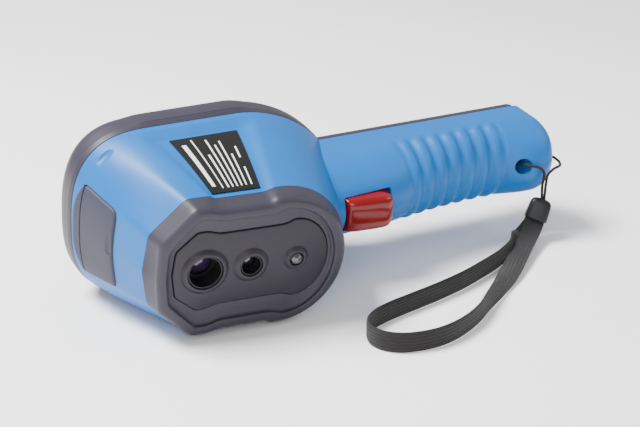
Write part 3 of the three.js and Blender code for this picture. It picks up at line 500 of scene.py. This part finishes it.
def tangents(line):
    along = np.gradient(line, axis=0)
    return along / np.linalg.norm(along, axis=1)[:, None]


def strap_cord():
    route = [on_table((220.9, 24.2, 19.4))] + list(lay_down(CORD_ROUTE)) + [on_table((221.9, 23.7, 19.4))]
    line, length = catmull(route, 220)
    along = tangents(line)
    rings = []
    side = frame_across(along[0])[0]
    for centre, axis in zip(line, along):
        side = side - axis * (side @ axis)
        side /= np.linalg.norm(side)
        rings.append(circle(CORD_RADIUS / 1000, 16, centre, side, np.cross(axis, side)))
    cord = loft("strap_cord_line", rings, BLACK, laid=False)
    add_strip_uv(cord, len(rings), 16, length, 2 * math.pi * CORD_RADIUS / 1000)
    cord.data.materials[0] = WEBBING
    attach(cord, "housing")
    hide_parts("strap_cord")


def add_strip_uv(piece, rings, sides, length, girth):
    """Lays the weave flat along a swept piece, in metres."""
    layer = piece.data.uv_layers.new(name="weave")
    for polygon in piece.data.polygons:
        places = [piece.data.loops[i].vertex_index for i in polygon.loop_indices]
        spots = [(v // sides, v % sides) for v in places]
        wraps = max(s for _, s in spots) - min(s for _, s in spots) > sides / 2
        for loop, (ring, side) in zip(polygon.loop_indices, spots):
            around = sides if wraps and side == 0 else side
            layer.data[loop].uv = (ring / rings * length, around / sides * girth)


SECTION_POINTS = 28


def webbing_section():
    """Outline of the webbing across its width: rounded edges and shallow ribs along its length."""
    outline = []
    half_wide = WEB_WIDE / 2
    half_thick = WEB_THICK / 2
    for face in (1, -1):
        for i in range(SECTION_POINTS):
            across = lerp(-half_wide, half_wide, i / (SECTION_POINTS - 1)) * face
            edge = max(0.0, 1 - (abs(across) / half_wide) ** 6) ** 0.5
            rib = 0.10 * math.cos(across * 2 * math.pi / 1.5)
            outline.append((across, face * max(0.12, (half_thick - 0.14 + rib) * edge)))
    return outline


def strap_webbing():
    line, length = catmull([on_table(p) for p in WEB_ROUTE], 420)
    along = tangents(line)
    section = webbing_section()
    rings = []
    for i, (centre, axis) in enumerate(zip(line, along)):
        t = i / (len(line) - 1)
        start, end = FAR_TWIST if t < 0.5 else NEAR_TWIST
        rise = min(max((min(t, 1 - t) - start) / (end - start), 0), 1)
        upright = rise * rise * (3 - 2 * rise)
        wide = lerp(-CAP_ACROSS, np.array([0, 0, 1.0]), upright)
        wide = wide - axis * (wide @ axis)
        wide /= np.linalg.norm(wide)
        thin = np.cross(axis, wide)
        rings.append(np.array([centre + (wide * a + thin * b) / 1000 for a, b in section]))
    web = loft("strap_webbing_band", rings, WEBBING, laid=False, sharp=60)
    add_strip_uv(web, len(rings), len(section), length, 2 * (WEB_WIDE + WEB_THICK) / 1000)
    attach(web, "housing")
    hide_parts("strap_webbing")


def strap_cap():
    down = CAP_END - CAP_TOP
    height = np.linalg.norm(down)
    down = down / height
    through = np.cross(down, CAP_ACROSS)
    through /= np.linalg.norm(through)
    across = np.cross(through, down)
    sizes = [(0, 1.4, 0.8), (0.02, 2.6, 1.5), (0.07, 4.0, 2.2), (0.22, 5.0, 2.75), (0.5, 5.3, 2.95),
             (0.85, 5.5, 3.05), (0.97, 5.4, 3.0), (1, 4.9, 2.6)]
    rings = []
    for t, wide, thick in sizes:
        angles = np.arange(64) * 2 * math.pi / 64
        c = np.sign(np.cos(angles)) * np.abs(np.cos(angles)) ** 0.62
        s = np.sign(np.sin(angles)) * np.abs(np.sin(angles)) ** 0.62
        centre = np.array([CAP_TOP[0] + SHIFT[0], CAP_TOP[1] + SHIFT[1], CAP_TOP[2]]) + down * t * height
        rings.append((centre + np.outer(wide * c, across) + np.outer(thick * s, through)) / 1000)
    cap = loft("strap_cap_body", eased(rings, 4), BLACK, laid=False, sharp=50)
    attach(cap, "housing")
    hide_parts("strap_cap")


# ---- outlines shared with the CAD -----------------------------------------------------------
CREASE = dict(left=-19.4, lowU=-18.4, lowZ=15.5, topU=-4.8, top=28.2, waist=26.7,
              waistU=(1.1, 6.1, 27, 30), roundU=33, round=27.2)
BASE = dict(left=-24.2, lowU=-21.8, lowZ=16.3, topU=-6.6, top=30.5, waist=29.1,
            waistU=(3.4, 5.3, 27.2, 31.3), roundU=34, round=30.1)
LIP_IN = dict(left=-16.7, lowU=-15.6, lowZ=12.3, topU=-4, top=24.9, waist=23.2,
              waistU=(1.9, 6.5, 28.4, 34.3), roundU=34.5, round=21.9)
GROOVE = dict(left=-14, lowU=-12.6, lowZ=10.6, topU=-3.4, top=18.5, waist=16.8,
              waistU=(1.4, 6.1, 34.5, 38.7), roundU=39, round=15.4)
EDGE_STEPS = [3, 3, 2, 1, 4, 1, 1]
ROUND_STEPS = 9
LEFT_REACH, RIGHT_START, RIGHT_REACH = 34.0, 75.0, 50.2
LEFT_POWER, RIGHT_POWER = 2.7, 1.8
RECESS_FROM, RECESS_TO = 9 * FINE, 13 * FINE
RECESS_DEPTH = [(0, 1.4), (0.82, 2.0), (0.925, 0), (1, 0)]

PANEL_ALONG = np.array([math.cos(LENS_TILT), -math.sin(LENS_TILT), 0])
PANEL_OUT = np.array([-math.sin(LENS_TILT), -math.cos(LENS_TILT), 0])


def on_panel(u, z, h):
    return np.array([LENS_X, 0, z]) + PANEL_ALONG * u + PANEL_OUT * h


def grown(o, by):
    return dict(left=o["left"] - by, lowU=o["lowU"] - by * 0.92, lowZ=o["lowZ"] + by * 0.4,
                topU=o["topU"] - by * 0.4, top=o["top"] + by, waist=o["waist"] + by, waistU=o["waistU"],
                roundU=o["roundU"], round=o["round"] + by)


def between(a, b, t):
    mixed = {key: lerp(a[key], b[key], t) for key in a if key != "waistU"}
    mixed["waistU"] = tuple(lerp(p, q, t) for p, q in zip(a["waistU"], b["waistU"]))
    return mixed


def panel_half(o):
    w = o["waistU"]
    corners = [(o["left"], 0), (o["lowU"], o["lowZ"]), (o["topU"], o["top"]), (w[0], o["top"]),
               (w[1], o["waist"]), (w[2], o["waist"]), (w[3], o["top"]), (o["roundU"], o["top"])]
    half = []
    for (a, b), steps in zip(zip(corners, corners[1:]), EDGE_STEPS):
        fine = steps * FINE
        half += [(lerp(a[0], b[0], i / fine), lerp(a[1], b[1], i / fine)) for i in range(fine)]
    fine = ROUND_STEPS * FINE
    for i in range(fine + 1):
        angle = math.pi / 2 * (1 - i / fine)
        half.append((o["roundU"] + o["round"] * math.cos(angle), o["top"] * math.sin(angle)))
    return np.array(half)


def mirrored(half):
    lower = half[-2:0:-1].copy()
    lower[:, -1] *= -1
    return np.vstack([half, lower])


def softened(ring, reach=1.6):
    """Rounds a ring's corners by averaging each point with its neighbours."""
    steps = np.arange(-6, 7)
    weights = np.exp(-0.5 * (steps / reach) ** 2)
    weights /= weights.sum()
    return sum(w * np.roll(ring, int(s), axis=0) for s, w in zip(steps, weights))


def panel_ring(o, h):
    flat = softened(mirrored(panel_half(o)))
    return np.array([on_panel(u, z, h) for u, z in flat])


def seam_half(inset):
    b = HEAD_HALF - inset

    def left_point(angle):
        return (LEFT_REACH - (LEFT_REACH - inset) * math.cos(angle) ** (2 / LEFT_POWER),
                b * math.sin(angle) ** (2 / LEFT_POWER))

    def half_width(x):
        if x < LEFT_REACH:
            return b * (1 - ((LEFT_REACH - x) / (LEFT_REACH - inset)) ** LEFT_POWER) ** (1 / LEFT_POWER)
        if x > RIGHT_START:
            return b * (1 - ((x - RIGHT_START) / (RIGHT_REACH - inset)) ** RIGHT_POWER) ** (1 / RIGHT_POWER)
        return b

    half = []
    for steps, start, end in ((EDGE_STEPS[0], 0, 0.42), (EDGE_STEPS[1], 0.42, 1.05)):
        half += [left_point(lerp(start, end, i / (steps * FINE))) for i in range(steps * FINE)]
    stops = [left_point(1.05)[0], 26, 33, 76, 82, 86]
    for edge in range(5):
        fine = EDGE_STEPS[edge + 2] * FINE
        for i in range(fine):
            x = lerp(stops[edge], stops[edge + 1], i / fine)
            half.append((x, half_width(x)))
    start = math.acos((11 / (RIGHT_REACH - inset)) ** (RIGHT_POWER / 2))
    fine = ROUND_STEPS * FINE
    for i in range(fine + 1):
        angle = start * (1 - i / fine)
        half.append((RIGHT_START + (RIGHT_REACH - inset) * math.cos(angle) ** (2 / RIGHT_POWER),
                     b * math.sin(angle) ** (2 / RIGHT_POWER)))
    return np.array(half)


def recess_at(t):
    return float(np.interp(t, [p[0] for p in RECESS_DEPTH], [p[1] for p in RECESS_DEPTH]))


def head_ring(t, inset):
    front = panel_half(grown(BASE, -inset))
    rear = seam_half(inset)
    swell = 1 - (1 - t) ** 1.7
    seat = np.array([on_panel(u, 0, BEZEL_BACK) for u, _ in front])
    index = np.arange(len(front))
    edges = [RECESS_FROM - FINE, RECESS_FROM, RECESS_TO, RECESS_TO + FINE]
    floor_share = np.interp(index, edges, [0, 1, 1, 0])
    extra = floor_share * (recess_at(t) - (1 - swell) * (BASE["top"] - BASE["waist"]))
    points = np.column_stack([
        lerp(seat[:, 0], rear[:, 0], t),
        lerp(seat[:, 1], SEAM_Y, t),
        lerp(front[:, 1], rear[:, 1], swell) - extra,
    ])
    return softened(mirrored(points), 1.4)


# ---- front shell ----------------------------------------------------------------------------
HANDLE_FRONT = [(96, 18), (116, 19.5), (136, 21.1), (147, 23.8), (158, 26.5), (168, 28.7), (180, 30.6),
                (198, 32.3), (204, 31.6), (209, 29), (214, 26.6), (219, 25.6), (224, 25.5), (LENGTH, 25.8)]
SECTION_BACK = 46.0
RIB_FIRST, RIB_PITCH, RIB_COUNT, RIB_RISE = 152.3, 8.05, 7, 1.0
CORNER_X = 223.9
LANYARD = dict(x=211.9, z=2.2, radius=3.9, bottom=41, exit_y=38.2, exit_z=0.5, exit_radius=2.7)


def handle_front(x):
    return float(np.interp(x, [p[0] for p in HANDLE_FRONT], [p[1] for p in HANDLE_FRONT]))


def rib_height(x):
    """Round-topped ribs with scooped valleys between them, fading out at both ends of the row."""
    place = (x - RIB_FIRST) / RIB_PITCH
    if place < -0.7 or place > RIB_COUNT - 0.3:
        return 0.0
    wave = abs(math.cos(math.pi * place)) ** 1.6
    fade = min(1.0, (place + 0.7) / 0.5, (RIB_COUNT - 0.3 - place) / 0.5)
    return RIB_RISE * (wave * 1.5 - 1.0) * fade


def handle_section(x, squeeze=0.0, ribbed=True):
    half = HANDLE_HALF * (1 - squeeze)
    front = np.mean([handle_front(x + d) for d in (-4, -2, 0, 2, 4)])
    reach = SECTION_BACK - front
    rise = rib_height(x) if ribbed else 0.0
    upper = [(SEAM_Y, half * i / 6) for i in range(6)]
    upper += [(lerp(SEAM_Y, SECTION_BACK, i / 8), half) for i in range(8)]
    for i in range(41):
        angle = math.pi / 2 * i / 40
        ridge = rise * min(1.0, angle / 0.2)
        upper.append((SECTION_BACK - (reach + ridge) * math.sin(angle), (half + ridge) * math.cos(angle)))
    ring = mirrored(np.array(upper))
    return np.column_stack([np.full(len(ring), x), ring])


def butt_ring(step):
    angle = math.pi / 2 * step
    squeeze = 1 - math.cos(angle) ** 0.55
    ring = handle_section(LENGTH, squeeze, ribbed=False)
    lean = (SEAM_Y - ring[:, 1]) / (SEAM_Y - 25.8)
    start = CORNER_X - 2.2 * lean
    tip = 229.4 + 3.0 * np.sin(math.pi * np.minimum(1, 0.1 + lean * 0.7))
    ring[:, 0] = lerp(start, tip, math.sin(angle))
    ring[:, 1] = lerp(ring[:, 1], 42, squeeze * 0.9 * np.maximum(0, lean))
    return ring


def handle_body():
    stations = np.concatenate([np.linspace(96, 146, 18), np.linspace(147, 206, 150),
                               np.linspace(207, 220.5, 12)])
    rings = [handle_section(x) for x in stations]
    rings += [butt_ring(step) for step in np.linspace(0.02, 0.97, 20)]
    return loft("handle", rings, BLUE, sharp=40)


def head_body():
    stations = np.unique(np.concatenate([np.linspace(0, 1, 40), [0.82, 0.925, 0.87]]))
    rings = [head_ring(t, 0) for t in stations[:-1]]
    rings.append(head_ring(0.995, 0.0))
    rings.append(head_ring(1, 0.3))
    rings += [head_ring(t, WALL) for t in (1, 0.8, 0.5, 0.25, 0.08)]
    rings.append(panel_ring(grown(GROOVE, 2.5), BEZEL_BACK - WALL))
    rings.append(panel_ring(grown(GROOVE, 2.5), BEZEL_BACK))
    return loft("head", rings, BLUE, looped=True, sharp=32)


def thumb_scoop(side):
    """A lens-shaped hollow on the rounded corner of the head, for a fingertip."""
    centre = np.array([10.6, 50.2, side * 32.6])
    out = np.array([-0.62, 0, side * 0.78])
    along = np.array([0.76, 0.05, side * 0.60])
    along /= np.linalg.norm(along)
    out -= along * (out @ along)
    out /= np.linalg.norm(out)
    across = np.cross(out, along)
    rings = []
    for t in np.linspace(0.03, 0.97, 25):
        radius = math.sin(math.pi * t) ** 0.8
        spine = centre + along * (t - 0.5) * 22
        rings.append(circle(1, 32, spine, out * 2.2 * radius, across * 3.0 * radius))
    return loft("scoop", rings, None)


def front_shell():
    handle = handle_body()
    mouth_start = (LANYARD["x"], 14, LANYARD["z"])
    mouth_end = (LANYARD["x"], LANYARD["bottom"], LANYARD["z"])
    mouth = rod(mouth_start, mouth_end, LANYARD["radius"])
    exit_start = (LANYARD["x"] - 1, LANYARD["exit_y"], LANYARD["exit_z"])
    exit_end = (LENGTH + 4, LANYARD["exit_y"], LANYARD["exit_z"])
    cut(handle, [mouth, rod(exit_start, exit_end, LANYARD["exit_radius"]),
                 block(111.2, 135.7, 4, 34, -8.35, 8.35, bevel=1.0)], sharp=40)
    head = head_body()
    cut(head, [block(-3, 14, 33, 48, -14.4, 17, bevel=0.8), cover_shape("seat", 0.35, 1.3, 6),
               block(105, 135.7, 4, 34, -8.35, 8.35), thumb_scoop(1), thumb_scoop(-1)], sharp=32)
    shell = join("front_shell_body", [head, handle])
    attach(shell, "housing")
    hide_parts("front_shell")


# ---- rear cover -----------------------------------------------------------------------------
DISPLAY = dict(x0=16.5, x1=83.5, half=25.2, corner=6)
KEYS = {
    "button_up": (91.4, 0, 3.4, 2.3), "button_down": (107.4, 0, 3.4, 2.3),
    "button_left": (99.4, 9.2, 2.3, 3.4), "button_right": (99.4, -9.2, 2.3, 3.4),
    "button_ok": (99.4, 0, 3.3, 3.3), "button_power": (134, 0, 4.2, 4.2),
}
SCREWS = [(89.5, 21), (89.5, -21), (150, 11.5), (150, -11.5), (217, 11.5), (217, -11.5)]


def back_ring(y, inset, proud):
    half = seam_half(inset)
    along = np.clip((half[:, 0] - 28) / 5, 0, 1) * np.clip((84 - half[:, 0]) / 8, 0, 1)
    half[:, 1] += proud * along * (half[:, 1] > 20)
    ring = softened(mirrored(half), 1.2)
    return np.column_stack([ring[:, 0], np.full(len(ring), y), ring[:, 1]])


def crown_section(x, squeeze):
    half = HANDLE_HALF * (1 - squeeze)
    rise = (CROWN_Y - SEAM_Y - 0.7) * (1 - squeeze * 0.4)
    base = SEAM_Y + GAP
    upper = [(base, half * i / 6) for i in range(6)] + [(base, half - 0.2), (base + 0.25, half)]
    for i in range(33):
        angle = math.pi / 2 * i / 32
        upper.append((base + 0.4 + rise * math.sin(angle), half * max(0.0, math.cos(angle)) ** 0.9))
    ring = mirrored(np.array(upper))
    return np.column_stack([np.full(len(ring), x), ring])


def rounded_slab(x0, x1, half, y0, y1, corner):
    outline = []
    for cx, cz, start in ((x1 - corner, half - corner, 0), (x0 + corner, half - corner, 90),
                          (x0 + corner, -half + corner, 180), (x1 - corner, -half + corner, 270)):
        for i in range(13):
            angle = math.radians(start + 90 * i / 12)
            outline.append((cx + corner * math.cos(angle), cz + corner * math.sin(angle)))
    outline = np.array(outline)
    return [np.column_stack([outline[:, 0], np.full(len(outline), y), outline[:, 1]]) for y in (y0, y1)]


KEY_SIDES = 48


def key_rings(spot, grow, y0, y1):
    x, z, wide, tall = spot
    angles = np.arange(KEY_SIDES) * 2 * math.pi / KEY_SIDES
    across = x + (wide + grow) * np.cos(angles)
    up = z + (tall + grow) * np.sin(angles)
    return [np.column_stack([across, np.full(KEY_SIDES, y), up]) for y in (y0, y1)]


def rear_cover():
    base = SEAM_Y + GAP
    outside = [(base, 0.3, 0), (base + 0.3, 0, 0), (base + 2.4, -0.45, 0.6),
               (base + 3.4, -0.5, 0.85), (67.3, -0.5, 0.85),
               (70.8, 0.6, 0.85), (74, 2.4, 0.4), (76.6, 5.2, 0.3), (78.3, 8, 0.1), (REAR_Y, 10.6, 0)]
    outer = eased([back_ring(*spot) for spot in outside], 4)
    outer.append(back_ring(REAR_Y, 11.5, 0))
    inner = [back_ring(REAR_Y - WALL, 11, 0), back_ring(72, 5, 0), back_ring(66, WALL, 0),
             back_ring(base, WALL, 0)]
    housing = loft("display_housing", inner + outer, CHARCOAL, sharp=40)
    crown_ends = [(c, s) for c, s in ((CORNER_X - 1.2, 0), (CORNER_X - 0.2, 0.02), (CORNER_X + 0.9, 0.07),
                                      (CORNER_X + 1.9, 0.15), (CORNER_X + 2.6, 0.25), (CORNER_X + 3, 0.36))]
    sections = [crown_section(x, 0) for x in np.linspace(96, 220, 20)]
    sections += [crown_section(*end) for end in crown_ends]
    crown = loft("handle_back", sections, CHARCOAL, sharp=40)
    x0, x1, high = DISPLAY["x0"], DISPLAY["x1"], DISPLAY["half"]
    window_rings = rounded_slab(x0, x1, high, REAR_Y - 1.6, REAR_Y + 2, DISPLAY["corner"])
    sight_rings = rounded_slab(x0 + 4, x1 - 4, high - 3, REAR_Y - 6, REAR_Y + 2, 1.5)
    window = loft("window", window_rings, None)
    sight = loft("sight", sight_rings, None)
    head_holes = [loft("hole", key_rings(spot, 0.35, REAR_Y - 8, REAR_Y + 3), None)
                  for name, spot in KEYS.items() if name != "button_power"]
    handle_holes = [loft("hole", key_rings(KEYS["button_power"], 0.35, CROWN_Y - 8, CROWN_Y + 3), None)]
    for x, z in SCREWS:
        top = REAR_Y if x < 120 else CROWN_Y
        wells = head_holes if x < 120 else handle_holes
        wells.append(rod((x, top - 3.4, z), (x, top + 4, z), 2.9))
    cut(housing, [window, sight] + head_holes, sharp=40)
    cut(crown, handle_holes, sharp=40)
    cover = join("rear_cover_body", [housing, crown])
    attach(cover, "housing")
    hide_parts("rear_cover")


# ---- lens bezel and panel -------------------------------------------------------------------
def lens_bezel():
    seat = BEZEL_BACK + GAP
    outer = [
        panel_ring(BASE, seat),
        panel_ring(between(BASE, grown(CREASE, 1.9), 0.5), -5.6),
        panel_ring(grown(CREASE, 1.75), -2.2),
        panel_ring(grown(CREASE, 1.25), -0.4),
        panel_ring(grown(CREASE, 0.3), 0.75),
        panel_ring(between(CREASE, LIP_IN, 0.25), 1.15),
        panel_ring(between(CREASE, LIP_IN, 0.75), 1.15),
        panel_ring(grown(LIP_IN, 0.1), 0.7),
        panel_ring(LIP_IN, -0.2),
        panel_ring(grown(LIP_IN, -0.9), -1.0),
        panel_ring(between(LIP_IN, GROOVE, 0.6), -1.5),
        panel_ring(GROOVE, -1.9),
    ]
    rings = eased(outer, 5)
    rings += [panel_ring(GROOVE, -2.1), panel_ring(GROOVE, -4.6), panel_ring(grown(GROOVE, 2), -5.0),
              panel_ring(grown(LIP_IN, -0.4), seat)]
    bezel = loft("lens_bezel_body", rings, CHARCOAL, looped=True, sharp=38)
    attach(bezel, "housing")
    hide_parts("lens_bezel")


HOLE_RADIUS = [7.6, 4.8, 3.05]
BOSS_RADIUS = [10.2, 7.7, 5.4]
PANEL_FACE = -1.2
PANEL_BACK = -4.6


def lens_panel():
    edge = grown(GROOVE, -GAP)
    rings = [panel_ring(edge, PANEL_BACK), panel_ring(edge, PANEL_FACE - 0.7),
             panel_ring(grown(edge, -0.25), PANEL_FACE - 0.2), panel_ring(grown(edge, -0.8), PANEL_FACE)]
    plate = loft("panel_plate", rings, PANEL, sharp=40)
    holes = [rod(on_panel(i * LENS_PITCH, 0, -9), on_panel(i * LENS_PITCH, 0, 6), radius + 0.02, 96)
             for i, radius in enumerate(HOLE_RADIUS)]
    cut(plate, holes, sharp=40)
    parts = [plate]
    for i, (outer, inner) in enumerate(zip(BOSS_RADIUS, HOLE_RADIUS)):
        profile = [(inner, PANEL_BACK), (inner, 0.0), (inner + 0.15, 0.3), (inner + 0.5, 0.42),
                   (lerp(inner, outer, 0.35), 0.36), (lerp(inner, outer, 0.6), 0.0),
                   (lerp(inner, outer, 0.85), -0.75),
                   (outer, -1.12), (outer + 0.3, -1.35), (inner + 1, -1.6), (inner + 0.6, PANEL_BACK)]
        centre = on_panel(i * LENS_PITCH, 0, 0)
        parts.append(turned("boss", profile, centre, PANEL_OUT, PANEL, 96, looped=True))
    panel = join("lens_panel_body", parts)
    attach(panel, "housing")
    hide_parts("lens_panel")


# ---- port cover -----------------------------------------------------------------------------
COVER_CORNERS = [(29.6, 17.6), (51.2, 20.8), (54, 15), (55.3, 7), (55.3, -7),
                 (54, -15), (51.2, -20.8), (29.6, -17.6)]


def end_face_x(y, z):
    """How far the end face lies from the head's end, following the shell's own skin."""
    t = (y - (8.4 * math.cos(LENS_TILT) + 24.2 * math.sin(LENS_TILT))) / (SEAM_Y - 10.6)
    ring = head_ring(min(max(t, 0), 1), 0)
    near = ring[(ring[:, 0] < 40)]
    order = np.argsort(near[:, 2])
    return float(np.interp(z, near[order, 2], near[order, 0]))


def cover_shape(name, grow, under, over, y_from=0.0, y_to=90.0, material=None):
    """A plate that lies along the end face, from `under` below its skin to `over` above it."""
    corners = np.array(COVER_CORNERS)
    centre = corners.mean(axis=0)
    corners = corners + np.sign(corners - centre) * grow
    dense = []
    for a, b in zip(corners, np.roll(corners, -1, axis=0)):
        dense += [lerp(a, b, i / 14) for i in range(14)]
    outline = softened(np.array(dense), 1.2)
    outline[:, 0] = np.clip(outline[:, 0], y_from, y_to)
    centre = outline.mean(axis=0)
    rings = []
    for shrink, lift in ((0.0, under), (0.0, -over + 0.5), (0.012, -over + 0.15), (0.05, -over)):
        flat = lerp(outline, centre, shrink)
        rings.append(np.array([(end_face_x(y, z) + lift, y, z) for y, z in flat]))
    for shrink in (0.3, 0.6, 0.9):
        flat = lerp(outline, centre, shrink)
        rings.append(np.array([(end_face_x(y, z) - over, y, z) for y, z in flat]))
    return loft(name, rings, material, sharp=40)


def port_cover():
    flap = cover_shape("port_cover_body", 0.0, 1.0, 0.9, y_to=COVER_HINGE_Y - 0.15, material=RUBBER)
    nail = rod((end_face_x(31, 2) - 3.4, 30.4, -2), (end_face_x(31, 2) - 3.4, 30.4, 8), 3.0)
    cut(flap, [nail], sharp=40)
    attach(flap, "port_cover")
    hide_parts("port_cover")
    root = cover_shape("port_cover_root_body", 0.0, 1.0, 0.9, y_from=COVER_HINGE_Y + 0.35, material=RUBBER)
    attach(root, "housing")
    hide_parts("port_cover_root")


# ---- trigger --------------------------------------------------------------------------------
def trigger():
    """A pillowed red lever, rounded at its free end."""
    stations = [(111.7, 7.4, 19.6), (112.2, 7.8, 18.3), (114, 8.0, 17.3), (117, 8.05, 16.6), (121, 8.0, 16.1),
                (126, 7.95, 15.6), (130, 7.8, 15.3), (132.4, 7.4, 15.8), (133.8, 6.8, 17.0),
                (134.6, 6.0, 19.2)]
    rings = []
    for x, half, front in stations:
        upper = [(31.5, 0), (31.5, half - 0.6), (30.8, half)]
        for angle in np.linspace(0, 1, 17) * math.pi / 2:
            depth = front + 4.4 * (1 - math.sin(angle) ** 0.6)
            upper.append((depth, half * max(0.0, math.cos(angle)) ** 0.6))
        ring = mirrored(np.array(upper, float))
        rings.append(np.column_stack([np.full(len(ring), x), ring]))
    lever = loft("trigger_body", eased(rings, 4), RED, sharp=50)
    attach(lever, "trigger")
    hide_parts("trigger")


# ---- label ----------------------------------------------------------------------------------
LABEL_FRONT = (41.8, 62.4)
LABEL_REAR = (39.1, 69.9)
LABEL_END = 0.78


def recess_point(across, along, lift):
    """A point on the label's surface: `across` from its left to its right, `along` from front to rear."""
    t = lerp(0.04, LABEL_END, along)
    ring = head_ring(t, 0)
    x = lerp(lerp(LABEL_FRONT[0], LABEL_REAR[0], along), lerp(LABEL_FRONT[1], LABEL_REAR[1], along), across)
    upper = ring[: len(ring) // 2 + 1]
    order = np.argsort(upper[:, 0])
    y = float(np.interp(x, upper[order, 0], upper[order, 1]))
    z = float(np.interp(x, upper[order, 0], upper[order, 2]))
    return np.array([x, y, z + lift])


def label_patch(name, across, along, lift, thick, material, steps=(10, 16)):
    """A thin patch on the label between two fractions of its width and of its length."""
    grid = [[recess_point(lerp(*across, i / steps[0]), lerp(*along, j / steps[1]), lift)
             for i in range(steps[0] + 1)] for j in range(steps[1] + 1)]
    rings = []
    for row in grid:
        row = np.array(row)
        low = row - [0, 0, thick]
        rings.append(np.vstack([row, low[::-1]]))
    return loft(name, rings, material, sharp=40)


def label():
    plate = label_patch("label_plate_body", (0, 1), (0, 1), 0.62, 0.45, LABEL)
    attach(plate, "housing")
    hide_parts("label_plate")
    bars = []
    rows = [(0.13, 0.034, 0.10, 0.86), (0.28, 0.010, 0.06, 0.94), (0.39, 0.016, 0.06, 0.62),
            (0.48, 0.013, 0.06, 0.90), (0.57, 0.013, 0.06, 0.78), (0.66, 0.013, 0.06, 0.84),
            (0.75, 0.013, 0.06, 0.58), (0.86, 0.014, 0.06, 0.34), (0.86, 0.014, 0.50, 0.70)]
    for middle, half, start, end in rows:
        across = (middle - half, middle + half)
        bars.append(label_patch("bar", across, (start, end), 0.70, 0.24, PRINT, (2, 16)))
    printed = join("label_lines", bars)
    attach(printed, "housing")


# ---- buttons --------------------------------------------------------------------------------
def buttons():
    for name, (x, z, wide, tall) in KEYS.items():
        top = CROWN_Y if name == "button_power" else REAR_Y
        angles = np.arange(64) * 2 * math.pi / 64
        levels = [(top - 4, 0.5), (top - WALL - 0.35, 0.5), (top - WALL - 0.3, 0.0), (top + 0.35, 0.0),
                  (top + 0.65, -0.12), (top + 0.82, -0.4), (top + 0.88, -0.9), (top + 0.84, -1.6),
                  (top + 0.76, -2.2)]
        rings = []
        for y, grow in levels:
            along = x + (wide + grow) * np.cos(angles)
            up = z + (tall + grow) * np.sin(angles)
            rings.append(np.column_stack([along, np.full(64, y), up]))
        cap = loft(name + "_cap", rings, RUBBER, sharp=45)
        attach(cap, name)
        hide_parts(name)


# ---- making ---------------------------------------------------------------------------------
add_camera()
strap_cord()
strap_webbing()
strap_cap()
dress_cad_nodes()
add_studio()
front_shell()
rear_cover()
lens_bezel()
lens_panel()
port_cover()
trigger()
label()
buttons()
